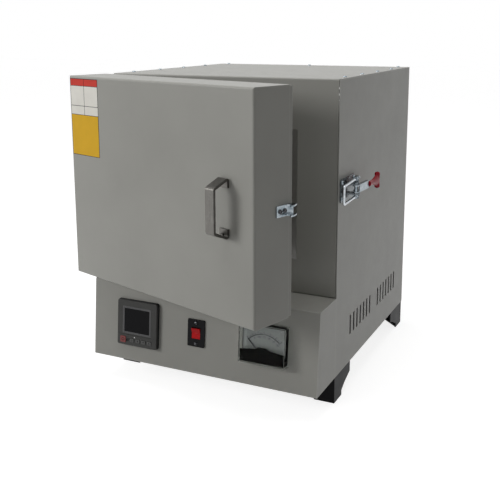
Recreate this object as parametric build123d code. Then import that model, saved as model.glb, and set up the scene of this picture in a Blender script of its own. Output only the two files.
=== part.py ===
from build123d import *
import math
import os

# Chamber furnace with a side hung door, in millimetres.
# The origin lies on the floor under the middle of the casing. The door faces -Y, and +Z is up.

# Casing sheets
case_width = 510.0
case_depth = 505.0
body_height = 593.0
sheet = 1.5
seam = 1.0
fit_gap = 0.3
bend = 3.0
flange = 18.0
top_strip = 105.0

# Control housing in front of the casing
housing_height = 165.0
housing_reach = 101.0
housing_lean = 14.0

# Pressed steel feet
foot_height = 56.0
foot_plate = 3.0
foot_top = 96.0
foot_sole = 44.0
foot_knee = 62.0
foot_shoulder_drop = 24.0
foot_knee_drop = 36.0
foot_waist_drop = 46.0

# Louvre slots in both side panels
slot_width = 9.0
slot_height = 42.0
slot_pitch = 22.5
slot_count = 7
slot_level = 60.0
slot_front_margin = 86.0
slot_rear_margin = 80.0

# Firing chamber and its fibre boards
chamber_width = 200.0
chamber_height = 120.0
chamber_drop = 14.0
rear_gap = 60.0
side_board_thickness = 90.0
flat_board_thickness = 85.0
rear_board_thickness = 90.0
collar_depth = 50.0
mouth_step = 18.0
liner_sheet = 1.0
liner_flange = 15.0
mouth_frame_sheet = 1.2
mouth_frame_border = 52.0
mouth_frame_lip = 2.0
rail_width = 40.0
rail_spacing = 220.0
rail_setback = 30.0

# Hearth plate, heating elements and thermocouple
hearth_thickness = 8.0
hearth_margin = 6.0
coil_radius = 4.5
coil_runs = 6
coil_pitch = 16.0
coil_margin = 38.0
coil_sides = 8
groove_radius = 5.2
groove_sink = 4.0
tail_radius = 2.5
bushing_radius = 8.0
bushing_length = 24.0
sheath_radius = 5.0
sheath_reach = 40.0
sheath_level = 32.0
head_radius = 17.0
head_length = 30.0

# Door
door_thickness = 90.0
door_gap = 16.0
door_clearance = 14.0
door_corner = 4.0
pan_depth = 11.0
pan_wrap = 10.0
plug_length = 43.0
plug_clearance = 3.0
plug_draft = 5.0
seal_width = 14.0
seal_thickness = 3.4
door_rest_angle = 17.2

# Lift-off hinges
hinge_outboard = 12.0
hinge_setback = 8.0
knuckle_radius = 9.5
knuckle_height = 28.0
hinge_pin_radius = 5.0
hinge_plate = 4.0
hinge_leaf_length = 60.0
hinge_leaf_height = 60.0
hinge_top_inset = 73.0
hinge_low_inset = 83.0
pin_clearance = 0.05

# Bent bar handle
handle_inset = 67.0
handle_drop = 208.0
handle_width = 20.0
handle_bar = 5.0
handle_stand_off = 38.0
handle_span = 112.0
handle_grip = 80.0

# Toggle latch on the right side panel, measured outwards from the panel and back from its front edge
latch_drop = 215.0
latch_plate_length = 84.0
latch_plate_height = 46.0
latch_plate_start = 8.0
latch_plate_sheet = 2.5
ear_half_span = 10.5
ear_sheet = 2.5
ear_radius = 9.0
pivot_out = 19.0
pivot_back = 48.0
latch_pin_radius = 3.0
crank_radius = 17.0
crank_angle = 13.6
lever_sheet = 2.0
lever_half_span = 7.6
lever_tail = 58.0
lever_lean = 3.0
grip_length = 56.0
grip_bar = 34.0
grip_radius = 6.0
rod_radius = 2.5
rod_half_span = 17.5
rod_length = 90.0
rod_tail = 12.0
rod_lean = 3.2
swivel_radius = 5.0
nut_size = 9.0
nut_height = 4.0

# Strike on the door
strike_sheet = 2.5
strike_length = 44.0
strike_height = 20.0
strike_reach = 15.5
strike_seat_out = 10.0
strike_slot = 6.2
strike_hook = 15.0
strike_lip = 6.8
strike_tip = 3.0
strike_bolt_spacing = 12.0
strike_bolt_radius = 4.2
strike_bolt_head = 2.8

# Screws
screw_head = 4.0
screw_head_height = 2.2
screw_shank = 2.0
screw_length = 6.0
screw_inset = 12.0
screw_sides = 12
cover_screw_start = 62.0
cover_screw_end = 119.0
cover_screw_count = 4
back_screw_margin = 40.0
rear_screw_margin = 25.0

# Temperature controller
controller_size = 96.0
controller_x = -144.0
controller_level = 82.5
controller_proud = 9.0
controller_body = 91.0
controller_body_depth = 62.0
window_width = 61.0
window_height = 50.0
window_offset = 6.0
window_sink = 1.5
key_level = -36.0
key_travel = 1.2
key_depth = 4.0
key_proud = 1.4
power_key_size = 13.0
power_key_x = -33.0
small_key_width = 9.0
small_key_height = 7.0
small_key_positions = (-11.0, 3.0, 17.0, 31.0)
key_names = ("set_key", "shift_key", "down_key", "up_key")

# Rocker switch
switch_x = -7.0
switch_level = 84.5
switch_width = 38.0
switch_height = 56.0
switch_proud = 3.0
rocker_width = 19.0
rocker_height = 22.0
rocker_depth = 7.0
rocker_throw = 9.0
rocker_pin = 1.5
rocker_pin_reach = 2.0
rocker_crown = 2.0
switch_body_depth = 26.0
switch_screw_spacing = 43.0

# Panel ammeter
meter_x = 146.0
meter_level = 90.0
meter_width = 100.0
meter_height = 80.0
meter_proud = 22.0
meter_wall = 2.0
meter_draft = 1.5
meter_dial_level = 8.0
meter_dial_sheet = 1.0
meter_body_radius = 33.0
meter_body_depth = 44.0
mask_height = 27.0
mask_depth = 3.0
mask_bump = 8.0
needle_length = 47.0
needle_tail = 6.5
needle_width = 1.4
needle_sheet = 0.8
needle_hub = 4.0
needle_stud = 1.2
needle_stud_depth = 3.0
needle_lift = 1.5
needle_pivot_drop = 27.0
needle_rest_angle = 45.0

# Power electronics and cable entry
sink_width = 80.0
sink_length = 100.0
sink_height = 42.0
sink_base = 6.0
sink_fin = 2.5
sink_fins = 7
sink_x = 90.0
bay_setback = 190.0
relay_gap = 12.0
relay_width = 45.0
relay_length = 58.0
relay_height = 24.0
block_x = -160.0
block_back = 175.0
block_width = 70.0
block_length = 26.0
block_height = 24.0
block_poles = 5
gland_radius = 11.0
gland_bore = 6.0
gland_reach = 22.0
gland_x = 180.0
gland_level = 62.0

# Places that follow from the sizes above
half_width = case_width / 2
front_y = -case_depth / 2
back_y = case_depth / 2
under_z = foot_height
top_z = under_z + body_height
deck_z = under_z + housing_height
chamber_level = (housing_height + body_height) / 2 - chamber_drop
chamber_z = under_z + chamber_level
mouth_width = chamber_width + 2 * mouth_step
mouth_height = chamber_height + 2 * mouth_step
core_width = chamber_width + 2 * side_board_thickness
core_height = chamber_height + 2 * flat_board_thickness
core_start = front_y + sheet + liner_sheet
board_start = core_start + collar_depth
core_end = back_y - sheet - rear_gap - liner_sheet
board_end = core_end - rear_board_thickness
chamber_depth = board_end - board_start
coil_length = chamber_depth - coil_margin
door_height = body_height - housing_height - door_clearance
door_low = deck_z + door_clearance
door_back = front_y - door_gap
door_front = door_back - door_thickness
pan_back = door_back + pan_depth
hinge_x = -half_width - hinge_outboard
hinge_y = front_y + hinge_setback
hinge_axis = Axis((hinge_x, hinge_y, 0), (0, 0, 1))
hinge_levels = (
    housing_height + door_clearance + hinge_low_inset,
    body_height - hinge_top_inset,
)
handle_level = body_height - handle_drop
latch_level = body_height - latch_drop
slot_group_length = (slot_count - 1) * slot_pitch + slot_width
slot_group_starts = (slot_front_margin, case_depth - slot_rear_margin - slot_group_length)
cover_screw_pitch = (case_depth - cover_screw_start - cover_screw_end) / (cover_screw_count - 1)
side_screw_y = [front_y + cover_screw_start + cover_screw_pitch * i for i in range(cover_screw_count)]
panel_slope = math.degrees(math.atan2(housing_lean, housing_height))
panel = Plane(
    origin=(0, front_y - housing_reach, under_z),
    x_dir=(1, 0, 0),
    z_dir=(0, -housing_height, housing_lean),
)


def block(x_low, x_high, y_low, y_high, z_low, z_high):
    """A box between two corners."""
    middle = Pos((x_low + x_high) / 2, (y_low + y_high) / 2, (z_low + z_high) / 2)
    return middle * Box(x_high - x_low, y_high - y_low, z_high - z_low)


def rod(start, direction, radius, length):
    """A round bar from a point along a direction."""
    base = Plane(origin=start, z_dir=direction)
    return base * Cylinder(radius, length, align=(Align.CENTER, Align.CENTER, Align.MIN))


def hexagon_bar(start, direction, across_flats, length):
    """A hexagonal bar from a point along a direction."""
    outline = RegularPolygon(across_flats / math.sqrt(3), 6)
    return extrude(Plane(origin=start, z_dir=direction) * outline, amount=length)


def crossbar(points, x_low, x_high):
    """A bar of constant section: an outline in Y and Z between two places on X."""
    face = Plane.YZ.offset(x_low) * Polygon(*points, align=None)
    return extrude(face, amount=x_high - x_low, dir=(1, 0, 0))


def fold(points, thickness, width, inside=Side.RIGHT, radius=bend):
    """A sheet folded along a path in the YZ plane, as wide as asked and centred on X."""
    path = FilletPolyline(*points, radius=radius)
    outline = offset(path, amount=thickness, side=inside)
    face = make_face(outline)
    return extrude(Plane.YZ.offset(-width / 2) * face, amount=width)


def faceted_rod(start, direction, radius, length, sides):
    """A many-sided bar, for small pieces that repeat."""
    outline = RegularPolygon(radius, sides)
    return extrude(Plane(origin=start, z_dir=direction) * outline, amount=length)


def screw(seat, direction):
    """A screw whose head sits on a surface, with the shank going in."""
    out = Vector(*direction)
    head = faceted_rod(seat, direction, screw_head, screw_head_height, screw_sides)
    tip = tuple(Vector(*seat) - out * screw_length)
    return head + faceted_rod(tip, direction, screw_shank, screw_length, screw_sides // 2)


def screw_hole(seat, direction):
    """The clearance hole that a screw's shank needs."""
    out = Vector(*direction)
    start = tuple(Vector(*seat) - out * (screw_length + fit_gap))
    return rod(start, direction, screw_shank + fit_gap, screw_length + 2 * fit_gap)


def open_door(shape):
    """Turns a piece of the closed door to where the door stands at rest."""
    return shape.rotate(hinge_axis, -door_rest_angle)


def save(shape, node):
    export_step(shape, "parts/" + node + ".step")


# Screw places on the casing
def cover_screw_seats():
    sides = [(x, y, top_z) for x in (-half_width + screw_inset, half_width - screw_inset) for y in side_screw_y]
    edge = half_width - rear_screw_margin
    rear = [(x, back_y - screw_inset, top_z) for x in (-edge, 0.0, edge)]
    return sides + rear


def back_screw_seats():
    edge = half_width - sheet - seam - screw_inset
    levels = (under_z + back_screw_margin, (under_z + top_z) / 2, top_z - back_screw_margin)
    return [(x, back_y, z) for x in (-edge, edge) for z in levels]


def mouth_screw_seats():
    return [(x, front_y - mouth_frame_sheet, chamber_z + z) for x in (-156.0, 156.0) for z in (-120.0, 120.0)]


def latch_screw_seats():
    x = half_width + latch_plate_sheet
    middle = front_y + latch_plate_start + latch_plate_length / 2
    z = under_z + latch_level
    spots = [(a, b) for a in (-35.0, 35.0) for b in (-16.0, 16.0)]
    return [(x, middle + a, z + b) for a, b in spots]


def bracket_screw_seats():
    x = -half_width - hinge_plate
    y = hinge_y + hinge_leaf_length
    return [(x, y - 14.0, under_z + level + dz) for level in hinge_levels for dz in (-18.0, 18.0)]


def leaf_screw_seats():
    x = -half_width - hinge_plate
    y = door_back - hinge_leaf_length
    return [(x, y + 14.0, under_z + level + dz) for level in hinge_levels for dz in (-18.0, 18.0)]


def drill(shape, seats, direction):
    """Cuts the clearance holes of a group of screws."""
    for seat in seats:
        shape = shape - screw_hole(seat, direction)
    return shape


# Casing
def side_panel(side):
    """One side of the casing: a tray with its flanges turned in at the top, bottom and back."""
    outer = half_width * side
    inner = (half_width - flange) * side
    low, high = min(outer, inner), max(outer, inner)
    top = top_z - sheet
    tray = block(low, high, front_y, back_y - sheet, under_z, top)
    wall = (half_width - sheet) * side
    far = (half_width - flange - 1) * side
    hollow_low, hollow_high = min(wall, far), max(wall, far)
    tray = tray - block(hollow_low, hollow_high, front_y - 1, back_y - 2 * sheet, under_z + sheet, top - sheet)
    rebate = half_width - sheet - seam
    corner_low, corner_high = min(side * rebate, far), max(side * rebate, far)
    tray = tray - block(corner_low, corner_high, front_y - 1, front_y + bend + fit_gap, under_z - 1, top + 1)
    strip = block(min(outer, wall), max(outer, wall), back_y - sheet, back_y, under_z, top)
    tray = tray + strip
    for start in slot_group_starts:
        for index in range(slot_count):
            y = front_y + start + index * slot_pitch
            z = under_z + slot_level
            tray = tray - block(low - 1, high + 1, y, y + slot_width, z, z + slot_height)
    tray = drill(tray, cover_screw_seats(), (0, 0, 1))
    tray = drill(tray, latch_screw_seats(), (1, 0, 0))
    tray = drill(tray, bracket_screw_seats(), (-1, 0, 0))
    return drill(tray, back_screw_seats(), (0, 1, 0))


def front_panel():
    """The casing front, folded back over the top as a strip that the cover butts against."""
    low = deck_z
    points = [(front_y + flange, low), (front_y, low), (front_y, top_z), (front_y + top_strip, top_z)]
    width = case_width - 2 * (sheet + seam)
    face = fold(points, sheet, width)
    strip_edge = block(
        -half_width, half_width, front_y + bend, front_y + top_strip, top_z - sheet, top_z
    )
    face = face + strip_edge
    opening_x = mouth_width / 2 + mouth_frame_lip
    opening_z = mouth_height / 2 + mouth_frame_lip
    face = face - block(
        -opening_x, opening_x, front_y - 1, front_y + 2 * sheet, chamber_z - opening_z, chamber_z + opening_z
    )
    face = drill(face, cover_screw_seats(), (0, 0, 1))
    return drill(face, mouth_screw_seats(), (0, -1, 0))


def mouth_frame():
    """The plate that holds the fibre collar behind the casing front."""
    x = mouth_width / 2 + mouth_frame_border
    z = mouth_height / 2 + mouth_frame_border
    frame = Plane.XZ.offset(-front_y) * RectangleRounded(2 * x, 2 * z, bend)
    hole = Plane.XZ.offset(-front_y) * Rectangle(mouth_width + mouth_frame_lip, mouth_height + mouth_frame_lip)
    plate = Pos(0, 0, chamber_z) * extrude(frame - hole, amount=mouth_frame_sheet)
    return drill(plate, mouth_screw_seats(), (0, -1, 0))


def top_cover():
    plate = block(-half_width, half_width, front_y + top_strip + seam, back_y, top_z - sheet, top_z)
    return drill(plate, cover_screw_seats(), (0, 0, 1))


def back_cover():
    """The back sheet, with vent slots, the thermocouple's hole and the cable entry."""
    x = half_width - sheet - seam
    plate = block(-x, x, back_y - sheet, back_y, under_z + seam, top_z - sheet - seam)
    for row in range(5):
        for column in (-110.0, 110.0):
            z = under_z + 470.0 + row * 16.0
            plate = plate - block(column - 60.0, column + 60.0, back_y - 2 * sheet, back_y + 1, z, z + 5.0)
    plate = plate - rod((0, back_y - 2 * sheet, chamber_z + sheath_level), (0, 1, 0), sheath_radius + 1, 3 * sheet)
    gland = (gland_x, back_y - 2 * sheet, under_z + gland_level)
    plate = plate - rod(gland, (0, 1, 0), gland_radius - 2.0 + fit_gap, 3 * sheet)
    return drill(plate, back_screw_seats(), (0, 1, 0))


def floor_pan():
    x = half_width - sheet - fit_gap
    front = front_y - housing_reach + 2 * sheet
    low = under_z + sheet
    return block(-x, x, front, back_y - 2 * sheet - fit_gap, low, low + sheet)


def deck_plate():
    """The shelf between the power bay and the firing chamber, with its sides turned down."""
    x = half_width - sheet - fit_gap
    start = front_y + sheet + fit_gap
    end = back_y - 2 * sheet - fit_gap
    shelf = block(-x, x, start, end, deck_z - flange, deck_z)
    return shelf - block(-x + sheet, x - sheet, start - 1, end + 1, deck_z - flange - 1, deck_z - sheet)


def housing_outline(inset):
    """Section of the control housing, its walls moved inwards by an inset."""
    slope = housing_lean / housing_height
    wall = inset * math.hypot(1, slope)
    bottom = (front_y - housing_reach + wall + slope * inset, under_z + inset)
    top = (front_y - housing_reach + housing_lean + wall - slope * inset, deck_z - inset)
    return bottom, top


def control_housing():
    """The sloping control box: a shell open at the back, with a flange under its front."""
    low, high = housing_outline(0.0)
    solid = crossbar([low, high, (front_y, deck_z), (front_y, under_z)], -half_width, half_width)
    nose = solid.edges().filter_by(Axis.X).sort_by(Axis.Y)[:2].sort_by(Axis.Z)[-1]
    solid = fillet(nose, bend)
    in_low, in_high = housing_outline(sheet)
    in_back = front_y + 1
    inner = [in_low, in_high, (in_back, deck_z - sheet), (in_back, under_z + sheet)]
    shell = solid - crossbar(inner, -half_width + sheet, half_width - sheet)
    shell = shell - block(
        -half_width + flange, half_width - flange, low[0] + flange, front_y + 1, under_z - 1, under_z + 2 * sheet
    )
    cut = controller_body + 2 * fit_gap
    shell = shell - panel * Pos(controller_x, controller_level, 0) * Box(cut, cut, 6 * sheet)
    opening = (switch_width - 8.0, switch_height - 22.0)
    shell = shell - panel * Pos(switch_x, switch_level, 0) * Box(opening[0], opening[1], 6 * sheet)
    meter_hole = Cylinder(meter_body_radius + fit_gap, 6 * sheet)
    shell = shell - panel * Pos(meter_x, meter_level, 0) * meter_hole
    for dy in (-switch_screw_spacing / 2, switch_screw_spacing / 2):
        hole = Cylinder(screw_shank + fit_gap, 6 * sheet)
        shell = shell - panel * Pos(switch_x, switch_level + dy, 0) * hole
    return shell


def foot_profile():
    """One wall of a foot: wide under the casing, stepping in to the sole."""
    outline = [
        (0, 0),
        (foot_sole, 0),
        (foot_sole, foot_height - foot_waist_drop),
        (foot_knee, foot_height - foot_knee_drop),
        (foot_top, foot_height - foot_shoulder_drop),
        (foot_top, foot_height),
        (0, foot_height),
    ]
    return Polygon(*outline, align=None)


def foot(side_x, side_y):
    """One pressed corner foot: two equal walls, with a sole turned in at the bottom."""
    side_sheet = extrude(Plane.YZ * foot_profile(), amount=foot_plate, dir=(1, 0, 0))
    end_sheet = extrude(Plane.XZ * foot_profile(), amount=foot_plate, dir=(0, 1, 0))
    sole = Polygon((0, 0), (foot_sole, 0), (0, foot_sole), align=None)
    shape = side_sheet + end_sheet + extrude(sole, amount=foot_plate, dir=(0, 0, 1))
    if side_x > 0:
        shape = mirror(shape, Plane.YZ)
    if side_y > 0:
        shape = mirror(shape, Plane.XZ)
    return Pos(side_x * (half_width - seam), side_y * (case_depth / 2 - seam), 0) * shape


def feet():
    return Compound([foot(x, y) for x in (-1, 1) for y in (-1, 1)])


def casing_screws():
    screws = [screw(seat, (0, 0, 1)) for seat in cover_screw_seats()]
    screws += [screw(seat, (0, 1, 0)) for seat in back_screw_seats()]
    screws += [screw(seat, (0, -1, 0)) for seat in mouth_screw_seats()]
    screws += [screw(seat, (1, 0, 0)) for seat in latch_screw_seats()]
    screws += [screw(seat, (-1, 0, 0)) for seat in bracket_screw_seats()]
    for dy in (-switch_screw_spacing / 2, switch_screw_spacing / 2):
        place = panel * Pos(switch_x, switch_level + dy, switch_proud)
        seat = place.position
        screws.append(screw(seat, tuple(panel.z_dir)))
    return Compound(screws)


# Firing chamber
def liner():
    """The inner steel box round the fibre boards, with a flange behind the casing front."""
    x = core_width / 2
    z = core_height / 2
    start = front_y + sheet
    end = core_end + liner_sheet
    box = block(-x - liner_sheet, x + liner_sheet, start, end, chamber_z - z - liner_sheet, chamber_z + z + liner_sheet)
    lip_x = x + liner_flange
    lip_z = z + liner_flange
    box = box + block(-lip_x, lip_x, start, start + liner_sheet, chamber_z - lip_z, chamber_z + lip_z)
    box = box - block(-x, x, start - 1, core_end, chamber_z - z, chamber_z + z)
    for place in tail_places():
        box = box - rod((place[0], core_end - 1, place[1]), (0, 1, 0), bushing_radius - 2.0 + fit_gap, liner_sheet + 2)
    middle = (0, core_end - 1, chamber_z + sheath_level)
    return box - rod(middle, (0, 1, 0), sheath_radius + fit_gap, liner_sheet + 2)


def liner_rails():
    """Two folded rails that carry the liner above the deck."""
    top = chamber_z - core_height / 2 - liner_sheet
    start = core_start + rail_setback
    end = core_end - rail_setback
    rails = []
    for x in (-rail_spacing / 2, rail_spacing / 2):
        rail = block(x - rail_width / 2, x + rail_width / 2, start, end, deck_z, top)
        gap = rail_width / 2 - sheet
        rail = rail - block(x - gap, x + gap, start - 1, end + 1, deck_z - 1, top - sheet)
        rails.append(rail)
    return Compound(rails)


def mouth_collar():
    """The fibre ring that the door plug enters."""
    ring = Rectangle(core_width, core_height) - Rectangle(mouth_width, mouth_height)
    collar = Pos(0, 0, chamber_z) * extrude(Plane.XZ.offset(-core_start) * ring, amount=-collar_depth)
    return drill(collar, mouth_screw_seats(), (0, -1, 0))


def flat_board(level):
    """The roof board or the floor board, above or below the chamber."""
    x = core_width / 2
    inner = chamber_z + level * chamber_height / 2
    outer = chamber_z + level * core_height / 2
    return block(-x, x, board_start, board_end, min(inner, outer), max(inner, outer))


def run_levels():
    first = (coil_runs - 1) * coil_pitch / 2
    return [first - index * coil_pitch for index in range(coil_runs)]


def coil_x(side):
    return side * (chamber_width / 2 + groove_sink)


def side_board(side):
    """A side wall of the chamber, with a round groove for each run of its element."""
    inner = side * chamber_width / 2
    outer = side * core_width / 2
    x_low, x_high = min(inner, outer), max(inner, outer)
    z = chamber_height / 2
    board = block(x_low, x_high, board_start, board_end, chamber_z - z, chamber_z + z)
    turn = board_end - coil_length
    for level in run_levels():
        board = board - rod((coil_x(side), turn, chamber_z + level), (0, 1, 0), groove_radius, coil_length + 1)
    reach = groove_sink + groove_radius
    height = run_levels()[0] + groove_radius
    pocket_low = min(inner - side, inner + side * reach)
    pocket_high = max(inner - side, inner + side * reach)
    for start in (turn - groove_radius, board_end - coil_pitch):
        board = board - block(
            pocket_low, pocket_high, start, start + coil_pitch + 1, chamber_z - height, chamber_z + height
        )
    return board


def side_boards():
    return Compound([side_board(-1), side_board(1)])


def tail_places():
    ends = (run_levels()[0], run_levels()[-1])
    return [(coil_x(side), chamber_z + level) for side in (-1, 1) for level in ends]


def rear_board():
    """The back wall of the chamber, bored for the element tails and the thermocouple."""
    x = core_width / 2
    z = core_height / 2
    board = block(-x, x, board_end, core_end, chamber_z - z, chamber_z + z)
    for place in tail_places():
        board = board - rod((place[0], board_end - 1, place[1]), (0, 1, 0), tail_radius + fit_gap, rear_board_thickness + 2)
    middle = (0, board_end - 1, chamber_z + sheath_level)
    return board - rod(middle, (0, 1, 0), sheath_radius + fit_gap, rear_board_thickness + 2)


def hearth_plate():
    width = chamber_width - 2 * hearth_margin
    length = chamber_depth - 2 * hearth_margin
    plate = extrude(RectangleRounded(width, length, hearth_margin), amount=hearth_thickness)
    return Pos(0, board_start + chamber_depth / 2, chamber_z - chamber_height / 2) * plate


def element(side):
    """One wound element as its outer envelope: level runs joined by turns, with two tails out of the back."""
    x = coil_x(side)
    near = board_end - coil_radius - 2 * fit_gap
    far = board_end - coil_length + coil_radius
    points = []
    for index, level in enumerate(run_levels()):
        ends = (near, far) if index % 2 == 0 else (far, near)
        points += [(x, ends[0], chamber_z + level), (x, ends[1], chamber_z + level)]
    section = Plane(origin=points[0], z_dir=(0, -1, 0)) * RegularPolygon(coil_radius, coil_sides)
    coil = sweep(section, path=Polyline(*points), transition=Transition.RIGHT)
    tail_length = rear_board_thickness + bushing_length + 14.0
    for level in (run_levels()[0], run_levels()[-1]):
        coil = coil + rod((x, near - 1, chamber_z + level), (0, 1, 0), tail_radius, tail_length)
    return coil


def heating_elements():
    return Compound([element(-1), element(1)])


def terminal_bushings():
    """Stepped ceramic tubes that carry the element tails through the liner."""
    tubes = []
    for x, z in tail_places():
        start = core_end + fit_gap
        neck = rod((x, start, z), (0, 1, 0), bushing_radius - 2.0, liner_sheet)
        body = rod((x, core_end + liner_sheet, z), (0, 1, 0), bushing_radius, bushing_length)
        bore = rod((x, core_end, z), (0, 1, 0), tail_radius + fit_gap, bushing_length + 3)
        tubes.append(neck + body - bore)
    return Compound(tubes)


def thermocouple():
    """The ceramic sheath through the back wall, with its connection head outside the back cover."""
    z = chamber_z + sheath_level
    length = sheath_reach + rear_board_thickness + (back_y - core_end) + 3.0
    tip = (0, board_end - sheath_reach, z)
    sheath = rod(tip, (0, 1, 0), sheath_radius, length)
    return sheath + Pos(*tip) * Sphere(sheath_radius)


def thermocouple_head():
    z = chamber_z + sheath_level
    plate = rod((0, back_y, z), (0, 1, 0), head_radius + 4.0, 2.5)
    body = rod((0, back_y + 2.5, z), (0, 1, 0), head_radius, head_length)
    body = chamfer(body.edges().sort_by(Axis.Y)[-1], 4.0)
    exit_stub = rod((0, back_y + head_length / 2 + 2.0, z), (0, 0, -1), 7.0, head_radius + 9.0)
    head = plate + body + exit_stub
    return head - rod((0, back_y - 1, z), (0, 1, 0), sheath_radius + fit_gap, 6.0)


# Power bay
def pan_top():
    return under_z + 2 * sheet


def heat_sink():
    """A finned block standing on the floor pan."""
    z = pan_top()
    y = front_y + bay_setback
    sink = block(sink_x, sink_x + sink_width, y, y + sink_length, z, z + sink_base)
    spacing = (sink_width - sink_fin) / (sink_fins - 1)
    for index in range(sink_fins):
        x = sink_x + index * spacing
        sink = sink + block(x, x + sink_fin, y, y + sink_length, z, z + sink_height)
    return sink


def solid_state_relay():
    """The relay lies on the floor pan beside its heat sink."""
    z = pan_top()
    x = sink_x - relay_width - relay_gap
    y = front_y + bay_setback
    body = block(x, x + relay_width, y, y + relay_length, z, z + relay_height)
    body = chamfer(body.edges().filter_by(Axis.Y).sort_by(Axis.Z)[-2:], 4.0)
    for end in (y + 4.0, y + relay_length - 14.0):
        body = body - block(x + 6.0, x + relay_width - 6.0, end, end + 10.0, z + relay_height - 6.0, z + relay_height + 1)
    return body


def terminal_block():
    """A barrier strip, with one cell to each pole."""
    z = pan_top()
    x = block_x
    y = back_y - block_back
    body = block(x, x + block_width, y, y + block_length, z, z + block_height)
    cell = block_width / block_poles
    for index in range(block_poles):
        left = x + index * cell + 1.5
        body = body - block(left, left + cell - 3.0, y - 1, y + 9.0, z + 10.0, z + block_height + 1)
        right = y + block_length
        body = body - block(left, left + cell - 3.0, right - 9.0, right + 1, z + 10.0, z + block_height + 1)
    return body


def cable_gland():
    """The cable entry: a hexagon body with a domed nut outside and a lock nut inside."""
    z = under_z + gland_level
    inner = back_y - sheet - 9.0
    thread = rod((gland_x, inner, z), (0, 1, 0), gland_radius - 2.0, 9.0 + sheet)
    body = hexagon_bar((gland_x, back_y, z), (0, 1, 0), 2 * gland_radius + 2.0, 7.0)
    dome = rod((gland_x, back_y + 7.0, z), (0, 1, 0), gland_radius, gland_reach - 7.0)
    dome = chamfer(dome.edges().sort_by(Axis.Y)[-1], 3.0)
    lock_nut = hexagon_bar((gland_x, back_y - sheet - 5.0, z), (0, 1, 0), 2 * gland_radius + 2.0, 5.0)
    gland = thread + body + dome + lock_nut
    bore_length = gland_reach + 9.0 + sheet + 2
    return gland - rod((gland_x, inner - 1, z), (0, 1, 0), gland_bore, bore_length)


# Door, modelled closed and then turned to its rest angle
def door_shell():
    """The outer tray of the door, with rounded front edges, open at the back."""
    outer = block(-half_width, half_width, door_front, door_back, door_low, door_low + door_height)
    front_edges = outer.faces().sort_by(Axis.Y)[0].edges()
    outer = fillet(front_edges, door_corner)
    x = half_width - sheet
    hollow = block(-x, x, door_front + sheet, door_back + 1, door_low + sheet, door_low + door_height - sheet)
    inner_edges = hollow.faces().sort_by(Axis.Y)[0].edges()
    hollow = fillet(inner_edges, door_corner - sheet)
    shell = outer - hollow
    for z in (-handle_span / 2 + 10.0, handle_span / 2 - 10.0):
        seat = (half_width - handle_inset, door_front - 1, under_z + handle_level + z)
        shell = shell - rod(seat, (0, 1, 0), screw_shank + fit_gap, 4.0)
    shell = drill(shell, leaf_screw_seats(), (-1, 0, 0))
    for seat in strike_bolt_seats():
        shell = shell - rod((seat[0] - 8.0, seat[1], seat[2]), (1, 0, 0), screw_shank + fit_gap, 9.0)
    return open_door(shell)


def door_inner_pan():
    """The inner tray that closes the door's back and frames the plug."""
    x = half_width - sheet - fit_gap
    low = door_low + sheet + fit_gap
    high = door_low + door_height - sheet - fit_gap
    pan = block(-x, x, door_back - pan_wrap, pan_back, low, high)
    pan = fillet(pan.faces().sort_by(Axis.Y)[-1].edges(), bend)
    pan = pan - block(-x + sheet, x - sheet, door_back - pan_wrap - 1, pan_back - sheet, low + sheet, high - sheet)
    hole_x = mouth_width / 2 - plug_clearance + fit_gap
    hole_z = mouth_height / 2 - plug_clearance + fit_gap
    pan = pan - block(-hole_x, hole_x, pan_back - 2 * sheet, pan_back + 1, chamber_z - hole_z, chamber_z + hole_z)
    return open_door(pan)


def door_insulation():
    """The fibre block that fills the door between its two trays."""
    x = half_width - 2 * sheet - 2 * fit_gap
    margin = 2 * sheet + 2 * fit_gap
    start = door_front + sheet + fit_gap
    fill = block(-x, x, start, pan_back - sheet - fit_gap, door_low + margin, door_low + door_height - margin)
    room = screw_length + 2.0
    for z in (-handle_span / 2 + 10.0, handle_span / 2 - 10.0):
        seat = (half_width - handle_inset, start - 1, under_z + handle_level + z)
        fill = fill - rod(seat, (0, 1, 0), screw_head + 2.0, room + 1)
    for seat in leaf_screw_seats():
        fill = fill - rod((seat[0] - 1, seat[1], seat[2]), (1, 0, 0), screw_head, hinge_plate + room)
    for seat in strike_bolt_seats():
        fill = fill - rod((seat[0] + 1, seat[1], seat[2]), (-1, 0, 0), screw_head, room + 4.0)
    return open_door(fill)


def door_plug():
    """The tapered fibre plug that closes the chamber's mouth."""
    root_width = mouth_width - 2 * plug_clearance
    root_height = mouth_height - 2 * plug_clearance
    root_y = pan_back - sheet - fit_gap
    tip_y = pan_back + plug_length
    root = Plane.XZ.offset(-root_y) * Rectangle(root_width, root_height)
    face = Plane.XZ.offset(-pan_back) * Rectangle(root_width, root_height)
    tip = Plane.XZ.offset(-tip_y) * Rectangle(root_width - 2 * plug_draft, root_height - 2 * plug_draft)
    plug = extrude(root, amount=-(pan_back - root_y)) + loft([face, tip])
    return open_door(Pos(0, 0, chamber_z) * plug)


def door_seal():
    """The flat fibre gasket round the plug."""
    inner_x = mouth_width - 2 * plug_clearance + 2 * fit_gap
    inner_z = mouth_height - 2 * plug_clearance + 2 * fit_gap
    outer = RectangleRounded(inner_x + 2 * seal_width, inner_z + 2 * seal_width, seal_width)
    ring = outer - Rectangle(inner_x, inner_z)
    gasket = extrude(Plane.XZ.offset(-pan_back) * ring, amount=-seal_thickness)
    return open_door(Pos(0, 0, chamber_z) * gasket)


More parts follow.
